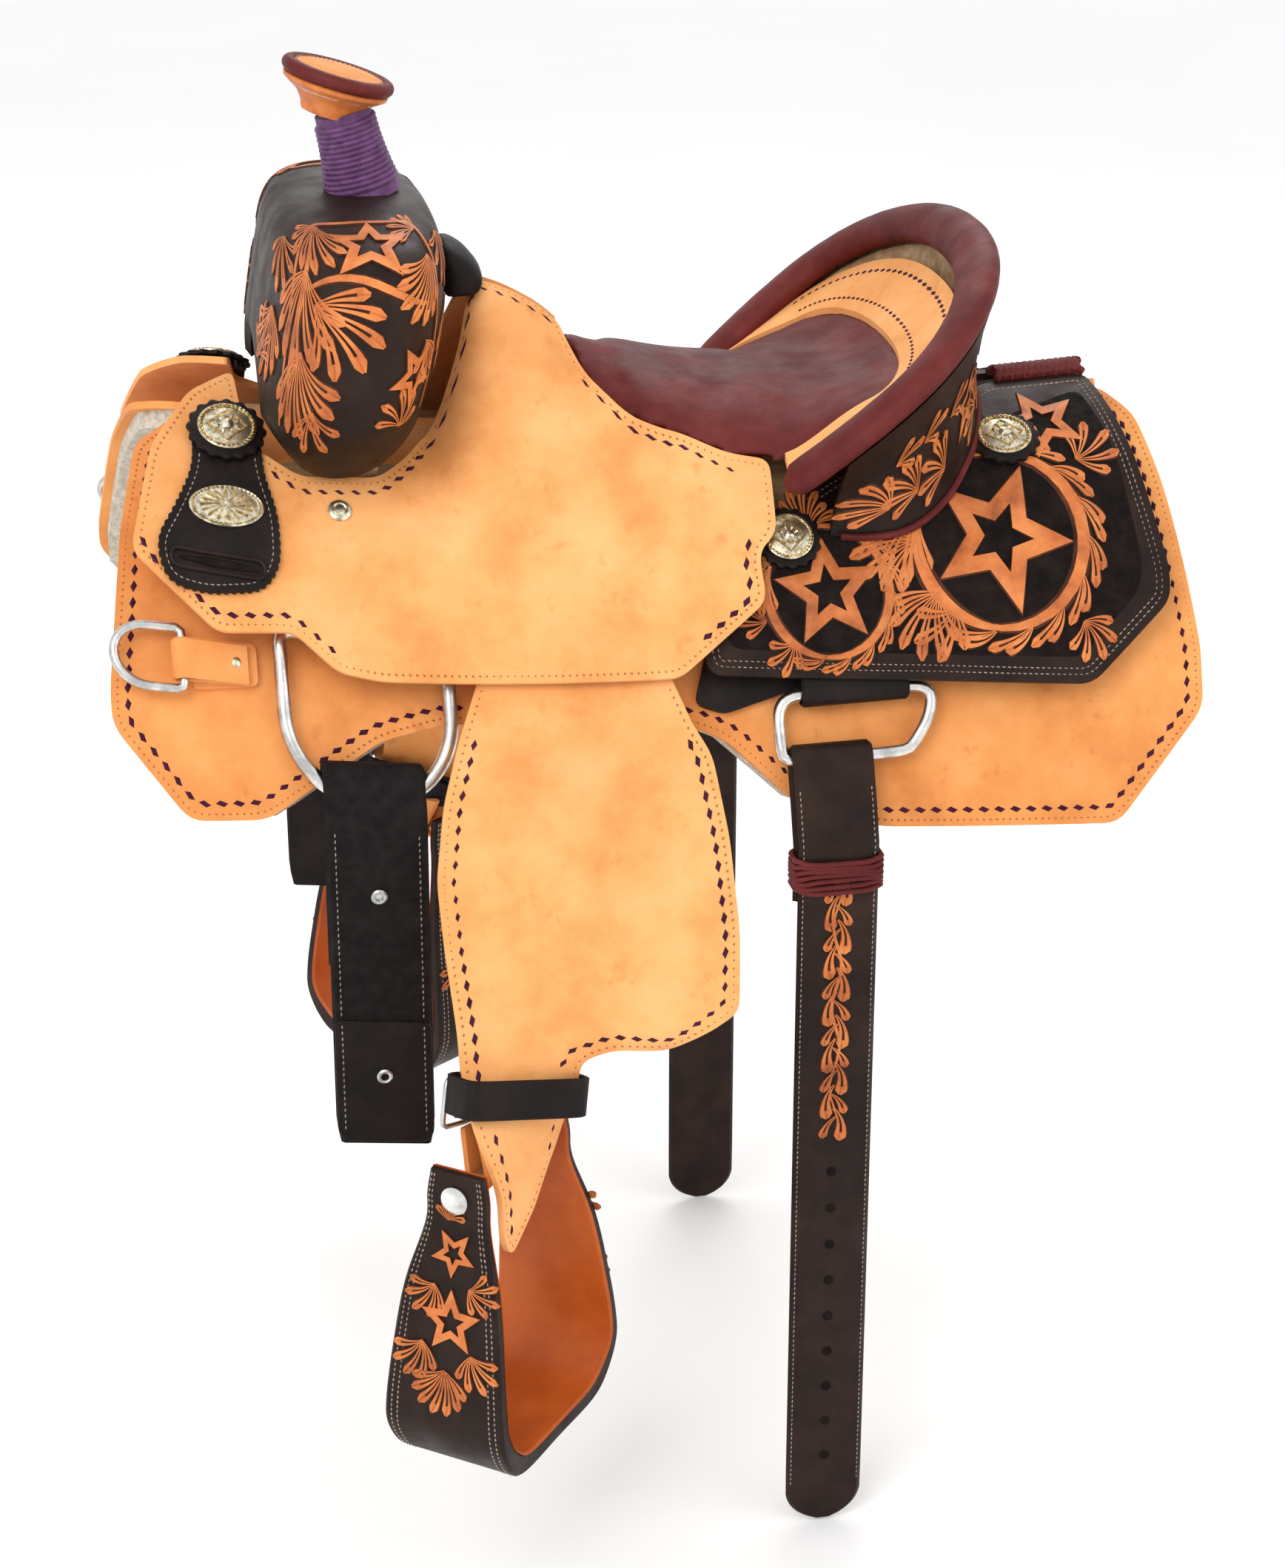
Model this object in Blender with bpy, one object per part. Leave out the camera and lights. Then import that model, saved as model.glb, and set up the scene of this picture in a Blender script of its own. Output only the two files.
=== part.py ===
"""A western saddle, as its separate leather, wood and steel pieces.

Metres, +Z up. +X is the cantle end, -X the horn end, -Y the rider's left (near) side.
The origin is in the centre plane, halfway along the skirts, where they rest on the back.

Every flat leather piece lies on one curved side surface. A point on it is (x, s, h):
x along the saddle, s down the side from the centre line, and h outward from the
surface that rests on the back. Layers lie at different h, so they never meet.
"""
import bpy
import bmesh
import math
from mathutils import Vector

GAP = 0.0003            # clearance between pieces that touch
LEFT = -1               # the near side, at -Y
RIGHT = 1
SIDES = ((LEFT, "left"), (RIGHT, "right"))

# The side surface: slope below the horizontal, and how fast it steepens.
TOP_SLOPE = math.radians(12)
LOW_SLOPE = math.radians(78)
ROLL_LENGTH = 0.15
SECTION_STEP = 0.0025
HALF_LENGTH = 0.33
FRONT_ROCK = 0.030      # rise of the bars' line at the front and rear ends
REAR_ROCK = 0.012

# Layers, as (inner, outer) distance from the side surface.
LINING = (0.0, 0.012)
SKIRT = (LINING[1] + GAP, 0.017)
STRAP = (SKIRT[1] + GAP, 0.022)
BAR = (SKIRT[1] + GAP, 0.029)
DEE_MIDDLE = 0.0275
DEE_RADIUS = 0.0045
STUB = (0.024, 0.030)
REAR_JOCKEY = (0.034, 0.0385)
LOOP = (0.0285, 0.0321)
FENDER = (0.0400, 0.0440)
JOCKEY = (0.0435, 0.048)
KEEPER = (JOCKEY[1] + GAP, 0.052)

# Every panel is cut along the same lines, so that stacked layers bend in the same places.
X_CUTS = tuple(-0.36 + 0.12 * i for i in range(7))
FINE_X_CUTS = X_CUTS + (-0.18, -0.15, -0.135, -0.105, -0.09, -0.07, -0.05, -0.03, 0.03, 0.06)
S_CUTS = (0.02, 0.04, 0.06, 0.08, 0.10, 0.125, 0.15, 0.18, 0.21, 0.245, 0.28, 0.32, 0.36, 0.385,
          0.41, 0.425, 0.44, 0.455, 0.47, 0.50, 0.60)

# Where the seat's side runs onto the side surface.
JOIN = 0.15

# Seat and cantle.
SEAT_FRONT = -0.050
RIM_BACK = 0.207        # x of the cantle rim in the centre plane
RIM_TURN = 0.125        # x where the rim's round back meets its straight arms
RIM_END = 0.066         # x of the arms' ends
RIM_HALF_WIDTH = 0.148
RIM_END_Y = 0.136
RIM_POWER = 2.2
RIM_LOW = 0.010         # height of the rim's ends
RIM_SLOPE = 0.82
ROLL_WIDTH = 0.016      # half-width and half-thickness of the rolled binding
ROLL_DEPTH = 0.0085
SEAT_INSET = ROLL_WIDTH + 0.002
SEAT_THICKNESS = 0.010

# Height of the seat in the centre plane, and how far its crown stays level, as (x, value).
SEAT_HEIGHT = ((-0.15, 0.122), (-0.10, 0.112), (-0.07, 0.097), (-0.045, 0.077), (-0.01, 0.064),
               (0.025, 0.055), (0.06, 0.051), (0.10, 0.050), (0.14, 0.057), (0.16, 0.066),
               (0.175, 0.079), (0.19, 0.094), (0.21, 0.113))
SEAT_CROWN = ((-0.15, 0.05), (-0.045, 0.05), (0.0, 0.115), (0.2, 0.12))

# Where the seat leather ends at the sides, as (x, y).
SEAM = ((SEAT_FRONT, 0.012), (-0.045, 0.040), (-0.022, 0.073), (0.008, 0.090), (0.035, 0.101),
        (RIM_END, 0.106))

# Swell, fork and horn.
SWELL_X = -0.200
SWELL_TOP = 0.166
GULLET_HALF_WIDTH = 0.075
GULLET_HEIGHT = 0.085
HORN_TILT = math.radians(-17)
HORN_CAP = Vector((-0.188, 0.0, 0.2425))
HORN_CAP_RADIUS = 0.033
HORN_NECK = 0.0145      # radius of the steel neck

# Rigging: the front dee's round part and straight bar, the rear dee and the billet on it.
FRONT_DEE_X = -0.198
FRONT_DEE_S = 0.205
FRONT_DEE_HALF = 0.050
FRONT_DEE_BAR_S = 0.158
FRONT_STRAP_LEAN = 0.04
REAR_DEE_X = 0.103
REAR_DEE_HALF = 0.049
REAR_DEE_TOP_S = 0.200
REAR_DEE_BOTTOM_S = 0.238
BILLET_X = REAR_DEE_X - 0.0185

# Stirrup leather, fender and stirrup.
LEATHER_X = -0.070
LEATHER_S = 0.128
FENDER_HINGE_S = 0.194
TWIST_START = 0.39
TWIST_END = 0.48
STIRRUP_TURN = math.radians(35)
TWIST_X = -0.122        # the line in the fender that it turns about
BAR_S = 0.470           # the stirrup's bolt, measured down the fender
BOLT_RADIUS = 0.0045
STIRRUP_HEIGHT = 0.188

LEATHER_TAN = (0.76, 0.42, 0.17)
LEATHER_ORANGE = (0.60, 0.27, 0.10)
LEATHER_CHOCOLATE = (0.045, 0.020, 0.013)
LEATHER_MAROON = (0.12, 0.025, 0.025)
LEATHER_BLACK = (0.012, 0.010, 0.010)
CORD_PURPLE = (0.09, 0.03, 0.10)
FLEECE = (0.62, 0.55, 0.42)
WOOD = (0.45, 0.30, 0.16)
STEEL = (0.62, 0.62, 0.60)
GILT = (0.60, 0.50, 0.28)


def material(name, colour, rough=0.6, metal=0.0):
    found = bpy.data.materials.get(name)
    if found:
        return found
    made = bpy.data.materials.new(name)
    made.use_nodes = True
    shader = made.node_tree.nodes["Principled BSDF"]
    shader.inputs["Base Color"].default_value = (*colour, 1.0)
    shader.inputs["Roughness"].default_value = rough
    shader.inputs["Metallic"].default_value = metal
    return made


def finish(name, mesh_data, colour, rough=0.6, metal=0.0, origin=(0, 0, 0)):
    """Turn a bmesh in world coordinates into a named object with its origin at a joint."""
    bmesh.ops.remove_doubles(mesh_data, verts=mesh_data.verts, dist=1e-6)
    bmesh.ops.recalc_face_normals(mesh_data, faces=mesh_data.faces)
    bmesh.ops.translate(mesh_data, verts=mesh_data.verts, vec=-Vector(origin))
    mesh = bpy.data.meshes.new(name)
    mesh_data.to_mesh(mesh)
    mesh_data.free()
    mesh.materials.append(material(name, colour, rough, metal))
    made = bpy.data.objects.new(name, mesh)
    made.location = origin
    bpy.context.scene.collection.objects.link(made)
    return made


def along(table, x):
    """Straight interpolation in a short list of (x, value) pairs."""
    if x <= table[0][0]:
        return table[0][1]
    for (x0, v0), (x1, v1) in zip(table, table[1:]):
        if x <= x1:
            return v0 + (v1 - v0) * (x - x0) / (x1 - x0)
    return table[-1][1]


def build_section():
    """Side surface at each cut: s, y, z, and the sine and cosine of its slope."""
    rows = []
    y, z, slope, s = 0.0, 0.0, TOP_SLOPE, 0.0
    for cut in (0.0,) + S_CUTS:
        while s < cut - SECTION_STEP / 2:
            s += SECTION_STEP
            new_slope = TOP_SLOPE + (LOW_SLOPE - TOP_SLOPE) * (1 - math.exp(-s / ROLL_LENGTH))
            middle = (slope + new_slope) / 2
            y += SECTION_STEP * math.cos(middle)
            z -= SECTION_STEP * math.sin(middle)
            slope = new_slope
        rows.append((cut, y, z, math.sin(slope), math.cos(slope)))
    return rows


SECTION = build_section()


def section(s):
    """y, z, and the sine and cosine of the slope at s, straight between cuts so layers stay parallel."""
    for low, high in zip(SECTION, SECTION[1:]):
        if s <= high[0]:
            break
    part = (s - low[0]) / (high[0] - low[0])
    return tuple(a + (b - a) * part for a, b in zip(low[1:], high[1:]))


def rise(x):
    """How far the rocker lifts the side surface at x, straight between the cuts across x."""
    def rocker(cut):
        return (FRONT_ROCK if cut < 0 else REAR_ROCK) * (cut / HALF_LENGTH) ** 2
    return along([(cut, rocker(cut)) for cut in X_CUTS], x)


def side_point(x, s, h, side):
    y, z, sine, cosine = section(s)
    return Vector((x, side * (y + h * sine), z + h * cosine + rise(x)))


def side_normal(s, side):
    _, _, sine, cosine = section(s)
    return Vector((0.0, side * sine, cosine)).normalized()


def smooth(low, high, value):
    t = min(max((value - low) / (high - low), 0.0), 1.0)
    return t * t * (3 - 2 * t)


def seat_curve(x, t):
    """y and z on the seat's cross-section at x, from the crown (t=0) to the join (t=1)."""
    y3, z3, sine, cosine = section(JOIN)
    y3 += JOCKEY[1] * sine
    z3 += JOCKEY[1] * cosine + rise(x)
    top = along(SEAT_HEIGHT, x)
    handle = 0.06
    points = ((0.0, top), (along(SEAT_CROWN, x), top),
              (y3 - handle * cosine, z3 + handle * sine), (y3, z3))
    u = 1 - t
    weights = (u ** 3, 3 * u * u * t, 3 * u * t * t, t ** 3)
    return (sum(w * p[0] for w, p in zip(weights, points)),
            sum(w * p[1] for w, p in zip(weights, points)))


def jockey_point(x, s, h, side):
    """The seat jockeys leave the side surface above the join and climb to the seat."""
    low = side_point(x, s, h, side)
    if s >= JOIN or x < -0.15:
        return low
    t = s / JOIN
    y, z = seat_curve(x, t)
    y1, z1 = seat_curve(x, t + 0.01)
    length = math.hypot(y1 - y, z1 - z)
    drop = h - JOCKEY[1]
    normal_y, normal_z = (z - z1) / length, (y1 - y) / length
    high = Vector((x, side * (y + drop * normal_y), z + drop * normal_z))
    return low.lerp(high, smooth(-0.15, -0.105, x))


def panel_mesh(outline, inner, outer, side, place=side_point, x_cuts=X_CUTS, s_cuts=S_CUTS):
    """A sheet over an (x, s) outline, between two distances from the side surface."""
    flat = bmesh.new()
    flat.faces.new([flat.verts.new((x, s, 0.0)) for x, s in outline])
    cuts = [((x, 0, 0), (1, 0, 0)) for x in x_cuts] + [((0, s, 0), (0, 1, 0)) for s in s_cuts]
    for where, across in cuts:
        everything = flat.verts[:] + flat.edges[:] + flat.faces[:]
        bmesh.ops.bisect_plane(flat, geom=everything, dist=1e-6, plane_co=where, plane_no=across)
    bmesh.ops.remove_doubles(flat, verts=flat.verts, dist=1e-5)

    def height(layer, s):
        return layer(s) if callable(layer) else layer

    solid = bmesh.new()
    skins = []
    for layer in (inner, outer):
        skins.append({v: solid.verts.new(place(v.co.x, v.co.y, height(layer, v.co.y), side))
                      for v in flat.verts})
    for skin in skins:
        for face in flat.faces:
            solid.faces.new([skin[v] for v in face.verts])
    for edge in flat.edges:
        if edge.is_boundary:
            a, b = edge.verts
            solid.faces.new([skins[0][a], skins[0][b], skins[1][b], skins[1][a]])
    flat.free()
    return solid


def arc(centre, radius, start, end, steps, radius_s=None):
    """Points of an arc in (x, s), in degrees, from the +x direction towards +s."""
    radius_s = radius if radius_s is None else radius_s
    points = []
    for i in range(steps + 1):
        angle = math.radians(start + (end - start) * i / steps)
        points.append((centre[0] + radius * math.cos(angle), centre[1] + radius_s * math.sin(angle)))
    return points


def circle(mesh, centre, radius, sides, first, second):
    """A ring of vertices in the plane of two unit directions."""
    ring = []
    for k in range(sides):
        angle = math.tau * k / sides
        ring.append(mesh.verts.new(centre + radius * (math.cos(angle) * first + math.sin(angle) * second)))
    return ring


def turned_rings(mesh, profile, centre, axis, sides):
    """One ring for each (radius, height) pair of a turned profile."""
    spin = axis.to_track_quat("Z", "Y").to_matrix()
    return [circle(mesh, centre + axis * height, radius, sides, spin.col[0], spin.col[1])
            for radius, height in profile]


def tube_mesh(path, radius, sides=8, closed=False, across=None):
    """A round bar along points; across is a fixed direction used to frame the bar."""
    mesh = bmesh.new()
    count = len(path)
    rings = []
    for i, point in enumerate(path):
        before = path[(i - 1) % count] if closed or i > 0 else point
        after = path[(i + 1) % count] if closed or i < count - 1 else point
        tangent = (after - before).normalized()
        first = across.cross(tangent).normalized()
        rings.append(circle(mesh, point, radius, sides, first, tangent.cross(first)))
    bridge_rings(mesh, rings, closed)
    return mesh


def bridge_rings(mesh, rings, closed=False):
    """Join rings of equal length with quads, and cap the ends unless it closes on itself."""
    pairs = list(zip(rings, rings[1:]))
    if closed:
        pairs.append((rings[-1], rings[0]))
    for low, high in pairs:
        size = len(low)
        for k in range(size):
            mesh.faces.new([low[k], low[(k + 1) % size], high[(k + 1) % size], high[k]])
    if not closed:
        mesh.faces.new(rings[0])
        mesh.faces.new(list(reversed(rings[-1])))


def turned_mesh(profile, centre, axis, sides=20):
    """A turned solid; profile is (radius, height) pairs from its bottom to its top."""
    mesh = bmesh.new()
    bridge_rings(mesh, turned_rings(mesh, profile, centre, axis, sides))
    return mesh


# ---------------------------------------------------------------- tree, skirts, linings

SKIRT_OUTLINE = (
    [(-0.255, 0.004), (-0.300, 0.014), (-0.325, 0.040), (-0.338, 0.105), (-0.350, 0.200), (-0.350, 0.220),
     (-0.308, 0.272), (-0.262, 0.268), (-0.215, 0.235), (-0.190, 0.218), (-0.150, 0.207), (0.000, 0.212),
     (0.022, 0.222), (0.062, 0.262), (0.115, 0.282), (0.268, 0.296), (0.328, 0.232), (0.330, 0.195),
     (0.322, 0.090), (0.316, 0.035), (0.300, 0.004)])


def inset(outline, amount):
    """Move each point of a roughly round outline towards its middle."""
    middle_x = sum(p[0] for p in outline) / len(outline)
    middle_s = sum(p[1] for p in outline) / len(outline)
    moved = []
    for x, s in outline:
        away = math.hypot(x - middle_x, s - middle_s)
        scale = (away - amount) / away
        moved.append((middle_x + (x - middle_x) * scale, middle_s + (s - middle_s) * scale))
    return moved


def skirts(side, word):
    lining = [(x, max(s, 0.004)) for x, s in inset(SKIRT_OUTLINE, 0.006)]
    finish(f"lining_{word}", panel_mesh(lining, *LINING, side), FLEECE, 0.95)
    finish(f"skirt_{word}", panel_mesh(SKIRT_OUTLINE, *SKIRT, side), LEATHER_ORANGE, 0.7)


def tree_bar(side, word):
    outline = [(-0.262, 0.062), (-0.225, 0.052), (0.180, 0.052), (0.215, 0.070), (0.215, 0.098),
               (0.180, 0.113), (-0.235, 0.113), (-0.262, 0.098)]
    finish(f"tree_bar_{word}", panel_mesh(outline, *BAR, side), WOOD, 0.6)


def swell_size(z):
    """Half-width (y) and half-length (x) of the swell at height z, and the x of its middle."""
    half_width = along(((0.015, 0.100), (0.026, 0.112), (0.04, 0.132), (0.06, 0.148), (0.09, 0.155),
                        (0.12, 0.152), (0.145, 0.136), (SWELL_TOP, 0.098)), z)
    half_length = along(((-0.02, 0.042), (0.03, 0.049), (0.09, 0.056), (0.12, 0.054),
                         (0.145, 0.048), (SWELL_TOP, 0.028)), z)
    return half_width, half_length, SWELL_X + 0.02 * smooth(0.0, 0.16, z) - 0.005


def gullet(y):
    """Height of the gullet arch at y."""
    ratio = min(abs(y) / GULLET_HALF_WIDTH, 1.0)
    return GULLET_HEIGHT * math.sqrt(1 - ratio ** 2)


def swell_point(angle, t, shrink):
    """Angle runs round the swell from +X, t from its lower edge (0) to its top (1)."""
    sine, cosine = math.sin(angle), math.cos(angle)
    level = 0.0
    foot = 0.056 - 0.031 * abs(sine) ** 3
    for _ in range(3):
        width, _, _ = swell_size(level)
        level = max(gullet(width * sine) + 0.006, foot)
    z = level + (SWELL_TOP - shrink - level) * t
    width, length, middle = swell_size(z + shrink)
    width -= shrink
    length -= shrink
    power = 2 / 2.6
    return Vector((middle + length * math.copysign(abs(cosine) ** power, cosine),
                   width * math.copysign(abs(sine) ** power, sine), z))


def swell_cover():
    """A moulded leather shell over the fork, open underneath."""
    around, up = 32, 7
    mesh = bmesh.new()
    skins = []
    for shrink in (0.0, 0.006):
        rows = [[mesh.verts.new(swell_point(math.tau * k / around, j / up, shrink)) for k in range(around)]
                for j in range(up + 1)]
        skins.append(rows)
    for rows in skins:
        for low, high in zip(rows, rows[1:]):
            for k in range(around):
                mesh.faces.new([low[k], low[(k + 1) % around], high[(k + 1) % around], high[k]])
        crown = sum((v.co for v in rows[-1]), Vector()) / around
        middle = mesh.verts.new(crown + Vector((0, 0, 0.005)))
        for k in range(around):
            mesh.faces.new([rows[-1][k], rows[-1][(k + 1) % around], middle])
    for k in range(around):
        after = (k + 1) % around
        mesh.faces.new([skins[0][0][k], skins[0][0][after], skins[1][0][after], skins[1][0][k]])
    finish("swell_cover", mesh, LEATHER_CHOCOLATE, 0.5)


def tree_fork():
    """The wooden arch inside the swell, standing on both bars."""
    outline = []
    steps = 14
    for i in range(steps + 1):
        angle = math.pi * i / steps
        outline.append((0.112 * math.cos(angle), 0.070 + 0.070 * math.sin(angle)))
    outline += [(-0.096, 0.032), (-0.085, 0.0115), (-0.0785, 0.0115)]
    for i in range(1, steps):
        angle = math.pi - math.pi * i / steps
        outline.append((0.078 * math.cos(angle), 0.018 + 0.080 * math.sin(angle)))
    outline += [(0.0785, 0.0115), (0.085, 0.0115), (0.096, 0.032)]
    mesh = bmesh.new()
    rings = [[mesh.verts.new((x, y, z)) for y, z in outline] for x in (SWELL_X - 0.020, SWELL_X + 0.020)]
    bridge_rings(mesh, rings)
    finish("tree_fork", mesh, WOOD, 0.6)


def ring_at(mesh, centre, axis, radius, sides=24):
    """Vertices of a circle about axis, starting from the +Y side."""
    first = Vector((0, 1, 0))
    return circle(mesh, centre, radius, sides, first, axis.cross(first).normalized())


def horn():
    """Steel neck, cord wrap, cap and its leather cover, leaning forward."""
    up = Vector((math.sin(-HORN_TILT), 0, math.cos(HORN_TILT)))
    foot = Vector((-0.176, 0, SWELL_TOP + 0.0085))
    head = HORN_CAP - up * 0.0065
    lean = (head - foot).normalized()
    length = (head - foot).length
    steel = bmesh.new()
    neck_top = foot + lean * (length - 0.014)
    rings = [ring_at(steel, foot, lean, HORN_NECK), ring_at(steel, neck_top, lean, HORN_NECK)]
    for drop, radius in ((0.0065, HORN_NECK), (0.0045, 0.028), (0.0010, 0.029), (0.0, 0.026)):
        rings.append(ring_at(steel, head - up * drop, up, radius))
    bridge_rings(steel, rings)
    finish("horn", steel, STEEL, 0.4, 1.0)
    wrap = []
    rows = 6
    for i in range(rows + 1):
        height = 0.002 + (length - 0.024) * i / rows
        wrap.append((0.0205 + 0.007 * (1 - i / rows) ** 3, height))
    finish("horn_wrap", hollow_turned_mesh(wrap, HORN_NECK + GAP, foot, lean, 24), CORD_PURPLE, 0.8)
    cover = bmesh.new()
    profile = ((0.0, 0.026), (0.003, HORN_CAP_RADIUS), (0.006, HORN_CAP_RADIUS + 0.001),
               (0.009, HORN_CAP_RADIUS - 0.001), (0.011, 0.026))
    rings = [ring_at(cover, head + up * (GAP + height), up, radius, 32) for height, radius in profile]
    bridge_rings(cover, rings)
    finish("horn_cap_cover", cover, LEATHER_TAN, 0.7)


def hollow_turned_mesh(profile, bore, centre, axis, sides=24):
    """A turned sleeve with a straight bore."""
    low, high = profile[0][1], profile[-1][1]
    loop = [(bore, low)] + list(profile) + [(bore, high)]
    mesh = bmesh.new()
    bridge_rings(mesh, turned_rings(mesh, loop, centre, axis, sides), closed=True)
    return mesh


# ---------------------------------------------------------------- seat and cantle

def rim_point(t):
    """A point on the cantle rim; t runs from -1 (left arm's end) to 1 (right arm's end)."""
    turn = 0.8
    ratio = abs(t) / turn
    if ratio <= 1:
        angle = ratio * math.pi / 2
        x = RIM_TURN + (RIM_BACK - RIM_TURN) * math.cos(angle) ** (2 / RIM_POWER)
        y = RIM_HALF_WIDTH * math.sin(angle) ** (2 / RIM_POWER)
    else:
        part = (abs(t) - turn) / (1 - turn)
        x = RIM_TURN + (RIM_END - RIM_TURN) * part
        y = RIM_HALF_WIDTH + (RIM_END_Y - RIM_HALF_WIDTH) * part ** 2
    return Vector((x, math.copysign(y, t), RIM_LOW + RIM_SLOPE * (x - RIM_END)))


def rim_half_width(x, inset=0.0):
    """y of the rim's middle line at x, or of a line inset from it."""
    if x <= RIM_TURN:
        part = (RIM_TURN - x) / (RIM_TURN - RIM_END)
        return RIM_HALF_WIDTH + (RIM_END_Y - RIM_HALF_WIDTH) * part ** 2 - inset
    ratio = min((x - RIM_TURN) / (RIM_BACK - inset - RIM_TURN), 1.0)
    return (RIM_HALF_WIDTH - inset) * (1 - ratio ** RIM_POWER) ** (1 / RIM_POWER)


def seat_height(x, y):
    """Height of the seat's top surface: crowned in front, dished inside the rim."""
    y = abs(y)
    if x < RIM_END:
        low, high = 0.0, 1.0
        for _ in range(24):
            middle = (low + high) / 2
            if seat_curve(x, middle)[0] < y:
                low = middle
            else:
                high = middle
        return seat_curve(x, low)[1]
    centre = along(SEAT_HEIGHT, x)
    rim = RIM_LOW + RIM_SLOPE * (x - RIM_END) - 0.010
    ratio = min(y / rim_half_width(x), 1.0)
    return centre + (rim - centre) * ratio ** 2.2


def seat_fraction(x, y):
    """How far down the seat's cross-section y lies, as s on the jockeys."""
    low, high = 0.0, 1.0
    for _ in range(24):
        middle = (low + high) / 2
        if seat_curve(x, middle)[0] < y:
            low = middle
        else:
            high = middle
    return low * JOIN


def sheet_mesh(stations, half_width, top, thickness, across=12):
    """A sheet across the centre plane: its half-width and top height are functions."""
    mesh = bmesh.new()
    skins = []
    for drop in (0.0, thickness):
        rows = []
        for x in stations:
            edge = half_width(x)
            ys = [edge * (2 * k / across - 1) for k in range(across + 1)]
            rows.append([mesh.verts.new((x, y, top(x, y) - drop)) for y in ys])
        skins.append(rows)
    upper, lower = skins
    for rows in skins:
        for a, b in zip(rows, rows[1:]):
            for k in range(across):
                mesh.faces.new([a[k], a[k + 1], b[k + 1], b[k]])
    for k in range(across):
        mesh.faces.new([upper[0][k], upper[0][k + 1], lower[0][k + 1], lower[0][k]])
        mesh.faces.new([upper[-1][k], upper[-1][k + 1], lower[-1][k + 1], lower[-1][k]])
    for side_row in (0, across):
        for i in range(len(stations) - 1):
            mesh.faces.new([upper[i][side_row], upper[i + 1][side_row],
                            lower[i + 1][side_row], lower[i][side_row]])
    return mesh


def seat_half_width(x):
    return along(SEAM, x) if x < RIM_END else rim_half_width(x, SEAT_INSET)


def seat():
    stations = [SEAT_FRONT, -0.045, -0.035, -0.022, 0.0, 0.025, 0.045, 0.0655, RIM_END + 0.001,
                0.085, 0.105, 0.125, 0.140, 0.155, 0.167, 0.177, 0.184, RIM_BACK - SEAT_INSET - 0.001]
    finish("seat", sheet_mesh(stations, seat_half_width, seat_height, SEAT_THICKNESS), LEATHER_MAROON, 0.45)
    stations = [-0.035, -0.01, 0.02, 0.05, 0.08, 0.11, 0.14, 0.165]
    under = SEAT_THICKNESS + 0.004

    def width(x):
        return min(0.7 * seat_half_width(x), 0.07)
    finish("ground_seat", sheet_mesh(stations, width, lambda x, y: seat_height(x, y) - under, 0.003, 6),
           STEEL, 0.4, 1.0)


def rim_frame(t):
    """Rim point, outward direction in the rim's own plane, and that plane's normal."""
    point = rim_point(t)
    tangent = (rim_point(min(t + 0.01, 1.0)) - rim_point(max(t - 0.01, -1.0))).normalized()
    normal = Vector((-RIM_SLOPE, 0, 1)).normalized()
    return point, tangent.cross(normal).normalized(), normal


def cantle_binding():
    mesh = bmesh.new()
    stations, sides = 30, 10
    rings = []
    for i in range(stations + 1):
        t = -1 + 2 * i / stations
        point, outward, normal = rim_frame(t)
        size = 0.75 if i in (0, stations) else 1.0
        wide, deep = outward * ROLL_WIDTH, normal * ROLL_DEPTH
        rings.append(circle(mesh, point, size, sides, wide, deep))
    bridge_rings(mesh, rings)
    finish("cantle_binding", mesh, LEATHER_MAROON, 0.4)


def rear_height(s):
    """The rear jockeys lie close to the skirts at the ridge and over the bars lower down."""
    return 0.0225 + (REAR_JOCKEY[0] - 0.0225) * min(s / 0.08, 1.0)


def rear_height_outer(s):
    return rear_height(s) + REAR_JOCKEY[1] - REAR_JOCKEY[0]


def on_rear_jockey(x, y, clearance):
    """Height of the rear jockeys' outer surface at (x, y)."""
    low, high = 0.0, 0.3
    for _ in range(30):
        middle = (low + high) / 2
        if side_point(x, middle, rear_height_outer(middle), 1).y < abs(y):
            low = middle
        else:
            high = middle
    return side_point(x, low, rear_height_outer(low), 1).z + clearance


def cantle_sections(reach, stations, corners):
    """Rings of the cantle; corners gives offsets outward at the rim and inward at the foot."""
    rim_offsets, foot_offsets = corners
    mesh = bmesh.new()
    rings = []
    for i in range(stations + 1):
        t = -reach + 2 * reach * i / stations
        rim, outward, normal = rim_frame(t)
        plan = Vector((outward.x, outward.y, 0)).normalized()
        top = rim - normal * (ROLL_DEPTH + 0.0012)
        points = [top + outward * offset for offset in rim_offsets]
        for offset in foot_offsets:
            x = RIM_END + (rim.x - RIM_END) * 1.05 - plan.x * offset
            y = rim.y * 0.84 - plan.y * offset
            points.append(Vector((x, y, on_rear_jockey(x, y, 0.006))))
        rings.append([mesh.verts.new(p) for p in points])
    bridge_rings(mesh, rings)
    return mesh


def cantle():
    board = ((-0.010, 0.000), (0.007, 0.019))
    back = ((0.003, 0.0075), (0.000, 0.0045))
    finish("cantle_board", cantle_sections(0.76, 20, board), WOOD, 0.6)
    finish("cantle_back", cantle_sections(0.88, 24, back), LEATHER_ORANGE, 0.55)


def seat_jockeys(side, word):
    """Tan leather from the swell to the cantle, notched for the swell and cut to the seat."""
    seam = [(x, seat_fraction(x, y + 0.005)) for x, y in reversed(SEAM[1:-1])]
    outline = [(-0.262, 0.004), (-0.290, 0.024), (-0.316, 0.064), (-0.332, 0.125), (-0.285, 0.166),
               (-0.240, 0.163), (-0.215, 0.184), (-0.190, 0.188), (-0.008, 0.188), (0.050, 0.148),
               (0.048, 0.122), (0.060, 0.112)]
    outline += [(0.060, seat_fraction(0.060, 0.110))] + seam
    outline += [(-0.053, 0.022), (-0.056, 0.006), (-0.103, 0.006), (-0.115, 0.035), (-0.135, 0.050),
                (-0.152, 0.066), (-0.180, 0.075), (-0.228, 0.075), (-0.256, 0.058), (-0.260, 0.030)]
    mesh = panel_mesh(outline, *JOCKEY, side, jockey_point, FINE_X_CUTS)
    finish(f"seat_jockey_{word}", mesh, LEATHER_TAN, 0.8)


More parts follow.
